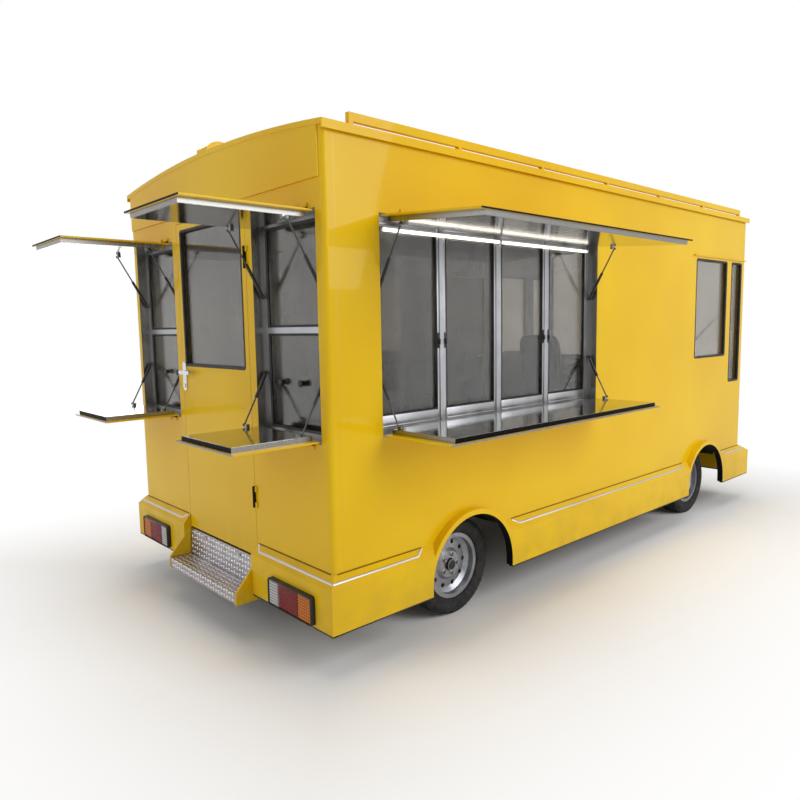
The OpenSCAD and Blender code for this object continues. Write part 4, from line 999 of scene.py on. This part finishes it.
# Rear step: folded aluminium chequer plate between the bumper's yellow cheeks, with raised lozenges
# set square to each other on the riser, the tread and the lip.
TREAD_Z = 250
STEP_OUT = 140
RISER_TOP = (-6, 406)
RISER_FOOT = (-14, TREAD_Z)
STEP_MARGIN = 12
LOZENGE_PITCH = 30
lozenge_profile = [(0, 2.2), (7, 1.9), (11, 0.9), (13, -0.4)]
chequer = Finish("chequer_plate", {"Metallic": 1.0})
tarnish = chequer.ramp(chequer.noise(14, 5), 0.35, 0.75)
chequer.set({"Base Color": chequer.mix(tarnish, rgb(178, 175, 178), rgb(146, 142, 145)),
             "Roughness": 0.3 + tarnish * 0.15})
chequer.bump(chequer.noise(160, 3), 0.15, 0.0006)
dress(chequer, "step")
rubbed = bare_metal("rubbed_lozenges", (206, 204, 208), (226, 225, 228), (14, 5), (90, 3), (0.3, 0.45))


def lozenge():
    bm = bmesh.new()
    turned(bm, lozenge_profile, Matrix.Scale(0.42, 4, (0, 1, 0)), 10)
    return bm


bm = bmesh.new()
columns = int(2 * (DOOR_HALF - STEP_MARGIN) / LOZENGE_PITCH)
half_row = LOZENGE_PITCH * (columns - 1) / 2
rise = Vector((RISER_TOP[0] - RISER_FOOT[0], 0, RISER_TOP[1] - RISER_FOOT[1]))
# Tread, riser and lip: the first lozenge, the way out, the way up and the number of rows.
plates = [((20 - STEP_OUT, half_row, TREAD_Z), (0, 0, 1), (1, 0, 0), 4),
          ((RISER_FOOT[0] + 0.8, half_row, TREAD_Z + 16), (-rise.z, 0, rise.x), rise, 5),
          ((-STEP_OUT, half_row, TREAD_Z - 40), (-1, 0, 0), (0, 0, 1), 2)]
for at, out, up, rows in plates:
    spread(bm, lozenge(), rubbed, facing(at, out, up), columns, rows, LOZENGE_PITCH, LOZENGE_PITCH,
           odd=math.pi / 2)
make("step_lozenges", bm, rubbed, "truck")

# Tail lamps: black housings with moulded lenses in clear, red and amber, from the inside outward,
# each lens ribbed inside by small prisms.
TAIL = (592, 962, 240, 378)
TAIL_R = 14
TAIL_FACE = -45
TAIL_FRONT = -71
LENSES = [("lens_clear", 599, 684, (226, 224, 226)), ("lens_red", 686, 850, (156, 8, 12)),
          ("lens_amber", 852, 953, (240, 134, 8))]
LENS_LOW = TAIL[2] + 7
LENS_HIGH = TAIL[3] - 9
PRISM_PITCH = 14
PRISM_R = (9.4, 2)
PRISM_H = 4
PRISM_FOOT = TAIL_FRONT + 4.5
tail_shell = [(-0.5, 0), (-0.5, 22), (2, 26), (5, 26), (6, 24), (6, 8), (60, 8), (60, 0)]
bm = bmesh.new()
for sign in (-1, 1):
    low_y, high_y = sorted((sign * TAIL[0], sign * TAIL[1]))
    outline = [(TAIL_FACE, y, z) for y, z in rounded(low_y, high_y, TAIL[2], TAIL[3], TAIL_R)]
    run(bm, outline[::-1], tail_shell, (-1, 0, 0))
    slab(bm, (TAIL_FACE - 10, low_y + 5, TAIL[2] + 5), (TAIL_FACE, high_y - 5, TAIL[3] - 5), 1)
make("tail_lamp_housings", bm, moulded_black, "truck", ["tail_lamps"])
for name, near, far, tone in LENSES:
    lens = Finish(name, {"Specular IOR Level": 0.2, "Coat Weight": 0.25, "Coat Roughness": 0.05})
    # Each lens is painted at 0.6 of its tone at the feet of its prisms and on the slab behind, brightening to
    # full tone at the prism tips: painted shade between the ribs.
    depth = lens.ramp(lens.x, PRISM_FOOT / 1000, TAIL_FRONT / 1000 + 0.0015)
    deep = tuple(v * 0.6 for v in tone)
    lens.set({"Base Color": lens.mix(depth, rgb(*deep), rgb(*tone)),
              "Roughness": lens.ramp(lens.noise(50, 3), 0.3, 0.7, 0.12, 0.25)})
    bm = bmesh.new()
    across = int((far - near - 2) / PRISM_PITCH)
    upward = int((LENS_HIGH - LENS_LOW - 2) / PRISM_PITCH)
    for sign in (-1, 1):
        low_y, high_y = sorted((sign * near, sign * far))
        slab(bm, (PRISM_FOOT, low_y, LENS_LOW), (TAIL_FACE - 8, high_y, LENS_HIGH), 3)
        prism = bmesh.new()
        spot = Matrix.Translation((0, 0, 1.5)) @ Matrix.Rotation(math.pi / 4, 4, "Z")
        bmesh.ops.create_cone(prism, cap_ends=True, segments=4, radius1=PRISM_R[0], radius2=PRISM_R[1],
                              depth=PRISM_H, matrix=spot)
        corner = (PRISM_FOOT, (low_y + high_y + (across - 1) * PRISM_PITCH) / 2,
                  (LENS_LOW + LENS_HIGH - (upward - 1) * PRISM_PITCH) / 2)
        spread(bm, prism, lens, facing(corner, (-1, 0, 0), (0, 0, 1)), across, upward,
               PRISM_PITCH, PRISM_PITCH)
    make("tail_" + name, bm, lens, "truck", sharp=25)

# Headlamps: black moulded housings screwed to the front wall, each with two chromed bowls and their
# bulbs behind a clear cover.
HEAD = (610, 940, 640, 790)
HEAD_R = 50
COVER_IN = 11
COVER_X = (BODY_L + 20.5, BODY_L + 23)
head_shell = [(-0.5, 0), (-0.5, 22), (3, 26), (10, 26), (14, 20), (14, 0)]
bowl = [(0, 9), (14, 8.5), (16, 7.5), (34, 9), (50, 14), (56, 19), (58, 19), (58, 6), (0, 6)]
bulb = [(0, 18), (8, 16), (10, 12), (10, 8), (0, 8)]
bm = bmesh.new()
bowls = bmesh.new()
cover = bmesh.new()
for sign in (-1, 1):
    low_y, high_y = sorted((sign * HEAD[0], sign * HEAD[1]))
    outline = [(BODY_L, y, z) for y, z in rounded(low_y, high_y, HEAD[2], HEAD[3], HEAD_R, 8)]
    run(bm, outline, head_shell, (1, 0, 0))
    slab(bm, (BODY_L, low_y + 10, HEAD[2] + 10), (BODY_L + 6, high_y - 10, HEAD[3] - 10), 1)
    for share in (0.28, 0.72):
        at = (BODY_L, low_y + share * (high_y - low_y), (HEAD[2] + HEAD[3]) / 2)
        turned(bowls, bowl, Matrix.Translation(at) @ along_x, 40)
        turned(bowls, bulb, Matrix.Translation(at) @ along_x, 20)
    inner = rounded(low_y + COVER_IN, high_y - COVER_IN, HEAD[2] + COVER_IN, HEAD[3] - COVER_IN,
                    HEAD_R - 10, 8)
    back, front = ([cover.verts.new((x, y, z)) for y, z in inner] for x in COVER_X)
    cover.faces.new(back[::-1])
    cover.faces.new(front)
    for i in range(len(back)):
        cover.faces.new((back[i - 1], back[i], front[i], front[i - 1]))
make("headlamp_housings", bm, moulded_black, "truck", ["headlamps"])
make("headlamp_bowls", bowls, chrome, "truck")
clear_cover = glazing("clear_cover", rgb(220, 228, 228), 0.5)
make("headlamp_covers", cover, clear_cover, "truck")

# Kitchen worktop: brushed stainless sheet folded over a cabinet that stands on the floor, under the
# serving windows.
hair = (120, 4, (0.03, 1, 1))
brushed = bare_metal("brushed_steel", (168, 168, 168), (200, 200, 198), hair, hair, (0.24, 0.4))
brushed.bump(brushed.noise(*hair), 0.06, 0.0003)
dress(brushed, "worktop")

# Cab: a plastic dashboard moulded with a fine grain and screwed under the windscreen, and a black
# steering wheel on its column.
dash_plastic = satin_black("dash_plastic", (44, 45, 47), 0.5, 0.1)
dress(dash_plastic, "dashboard")
dress(moulded_black, "steering_wheel")

# Driver's seat: foam cushion and back in black woven cloth, with side rolls set off by sewn channels,
# on a painted steel box bolted to the floor.
SEAT_X = 3591
SEAT_Y = 380
SEAT_Z = 930
SEAT_W = 440
SEAT_CROWN = 14
SEAT_LEAN = 12
BACK_T = 104
ROLL_AT = 0.62
ROLL_H = 9
CHANNEL_W = 0.05
CHANNEL_DEEP = 6
seat_cloth = Finish("seat_cloth", {"Sheen Weight": 0.3, "Sheen Roughness": 0.5})
yarn = {"Vector": seat_cloth.place, "Scale": 220, "Distortion": 0.6}
weave = seat_cloth.add("ShaderNodeTexWave", {"bands_direction": "X"}, yarn)
weft = seat_cloth.add("ShaderNodeTexWave", {"bands_direction": "Y"}, yarn)
seat_cloth.set({"Base Color": seat_cloth.mix(weave * weft, rgb(30, 31, 34), rgb(62, 64, 68)),
                "Roughness": seat_cloth.ramp(seat_cloth.noise(40, 3), 0.3, 0.7, 0.8, 0.95)})
seat_cloth.bump(weave + weft, 0.3, 0.0008)


def cushion(bm, low, high, crown, place):
    """A crowned pad: its faces swell towards their middles and its sides pull in between corners."""
    start = len(bm.verts)
    made = bmesh.ops.create_cube(bm, size=2)["verts"]
    edges = list(dict.fromkeys(e for v in made for e in v.link_edges))
    bmesh.ops.subdivide_edges(bm, edges=edges, cuts=15, use_grid_fill=True)
    bm.verts.ensure_lookup_table()
    middle, half = (Vector(low) + Vector(high)) / 2, (Vector(high) - Vector(low)) / 2
    for v in bm.verts[start:]:
        p = v.co.copy()
        n = sum(abs(c) ** 6 for c in p) ** (1 / 6)
        soft = Vector([c / n for c in p])
        swell = (1 - soft.x ** 2) * (1 - soft.y ** 2)
        channel = math.exp(-((abs(soft.y) - ROLL_AT) / CHANNEL_W) ** 2)
        roll = ROLL_H * (abs(soft.y) > ROLL_AT) * (1 - abs(soft.x) ** 4)
        q = Vector((soft.x * half.x, soft.y * half.y, soft.z * (half.z - crown)))
        if soft.z > 0:
            q.z += crown * swell + roll - CHANNEL_DEEP * channel
        v.co = place @ (middle + q)


bm = bmesh.new()
seat_place = Matrix.Translation((SEAT_X, SEAT_Y, SEAT_Z))
cushion(bm, (0, -SEAT_W / 2, -110), (450, SEAT_W / 2, -10), SEAT_CROWN, seat_place)
seat_pad = make("seat_cushion", bm, seat_cloth, "truck", ["driver_seat"], sharp=60)
bm = bmesh.new()
lean = Matrix.Rotation(math.radians(-SEAT_LEAN), 4, "Y")
tilt = Matrix.Translation((SEAT_X + 60, SEAT_Y, SEAT_Z - 55)) @ lean
upright = along_x @ Matrix.Scale(-1, 4, (1, 0, 0)) @ Matrix.Translation((0, 0, -BACK_T))
cushion(bm, (60, -SEAT_W / 2 + 8, 2), (640, SEAT_W / 2 - 8, BACK_T), SEAT_CROWN, tilt @ upright)
seat_back = make("seat_back", bm, seat_cloth, "truck", sharp=60)
bm = bmesh.new()
slab(bm, (SEAT_X + 80, SEAT_Y - 160, 500), (SEAT_X + 360, SEAT_Y + 160, SEAT_Z - 108), 8)
make("seat_base", bm, chassis_black, "truck")

# Studio: a plain pale floor that keeps the truck's shadow and fades to white away from it, four soft
# lamps, and a white surround.
CAMERA_AT = (-3.7253, -3.1357, 1.5971)
CAMERA_LENS = 30.31
CAMERA_HEADING = -42.254
CAMERA_DIP = 6.28
CAMERA_ROLL = -0.994
FADE = (0.15, 1.7)
AMBIENT = 0.3
# Each lamp: its name, place, size in metres, power in watts, and the point it looks at.
LAMPS = [("key", (1.5, -8.0, 5.0), 6.0, 430, (0.2, -0.6, 1.2)),
         ("rear_fill", (-8.0, 1.0, 3.4), 5.0, 110, (-1.5, 0.2, 1.2)),
         ("top", (-0.5, 0.0, 8.5), 7.0, 330, (0, 0, 1)),
         ("far_fill", (2.0, 8.0, 4.0), 6.0, 220, (0, 0.5, 1.2))]
camera = bpy.data.objects.new("camera", bpy.data.cameras.new("camera"))
camera.data.sensor_width = 36
camera.data.lens = CAMERA_LENS
camera.matrix_world = (Matrix.Translation(CAMERA_AT) @ Matrix.Rotation(math.radians(CAMERA_HEADING), 4, "Z")
                       @ Matrix.Rotation(math.radians(90 - CAMERA_DIP), 4, "X")
                       @ Matrix.Rotation(math.radians(CAMERA_ROLL), 4, "Z"))
bpy.context.collection.objects.link(camera)
bpy.context.scene.camera = camera

bm = bmesh.new()
bmesh.ops.create_circle(bm, cap_ends=True, segments=96, radius=40)
ground = bpy.data.objects.new("ground", bpy.data.meshes.new("ground"))
bm.to_mesh(ground.data)
bm.free()
bpy.context.collection.objects.link(ground)


def background_rays(tree):
    """1 for the rays that show the backdrop: to the camera, off a mirror or through glass."""
    path = tree.add("ShaderNodeLightPath").socket.node
    seen = [Value(tree, path.outputs["Is %s Ray" % kind]) for kind in ("Camera", "Glossy", "Transmission")]
    return seen[0] | seen[1] | seen[2]


pale = Finish("pale_floor", {"Roughness": 0.9, "Specular IOR Level": 0.1})
beside = (abs(pale.x - FLOOR_MIDDLE) - FLOOR_MIDDLE) | (abs(pale.y) - HALF_W / 1000)
far_off = pale.ramp(beside, *FADE)
seen = background_rays(pale)
pale.set({"Base Color": pale.mix(pale.noise(0.6, 3), rgb(246, 246, 246), rgb(250, 250, 250))})
white = pale.add("ShaderNodeEmission", {}, {"Color": (1, 1, 1, 1), "Strength": 1.0})
lit = Value(pale, pale.shader.outputs[0])
blend = pale.add("ShaderNodeMixShader", {}, {0: far_off * seen, 1: lit, 2: white})
pale.put(pale.tree.nodes["Material Output"].inputs["Surface"], blend)
ground.data.materials.append(pale.material)

for name, at, size, power, target in LAMPS:
    lamp = bpy.data.objects.new(name, bpy.data.lights.new(name, "AREA"))
    lamp.data.size = size
    lamp.data.energy = power
    lamp.location = at
    lamp.rotation_euler = (Vector(target) - Vector(at)).to_track_quat("-Z", "Y").to_euler()
    bpy.context.collection.objects.link(lamp)

world = bpy.data.worlds.new("surround")
bpy.context.scene.world = world
world.use_nodes = True
sky = Nodes(world.node_tree)
backdrop = world.node_tree.nodes["Background"]
backdrop.inputs["Color"].default_value = (1, 1, 1, 1)
sky.put(backdrop.inputs["Strength"], AMBIENT + background_rays(sky) * (1 - AMBIENT))

bpy.context.scene.view_settings.view_transform = "Standard"
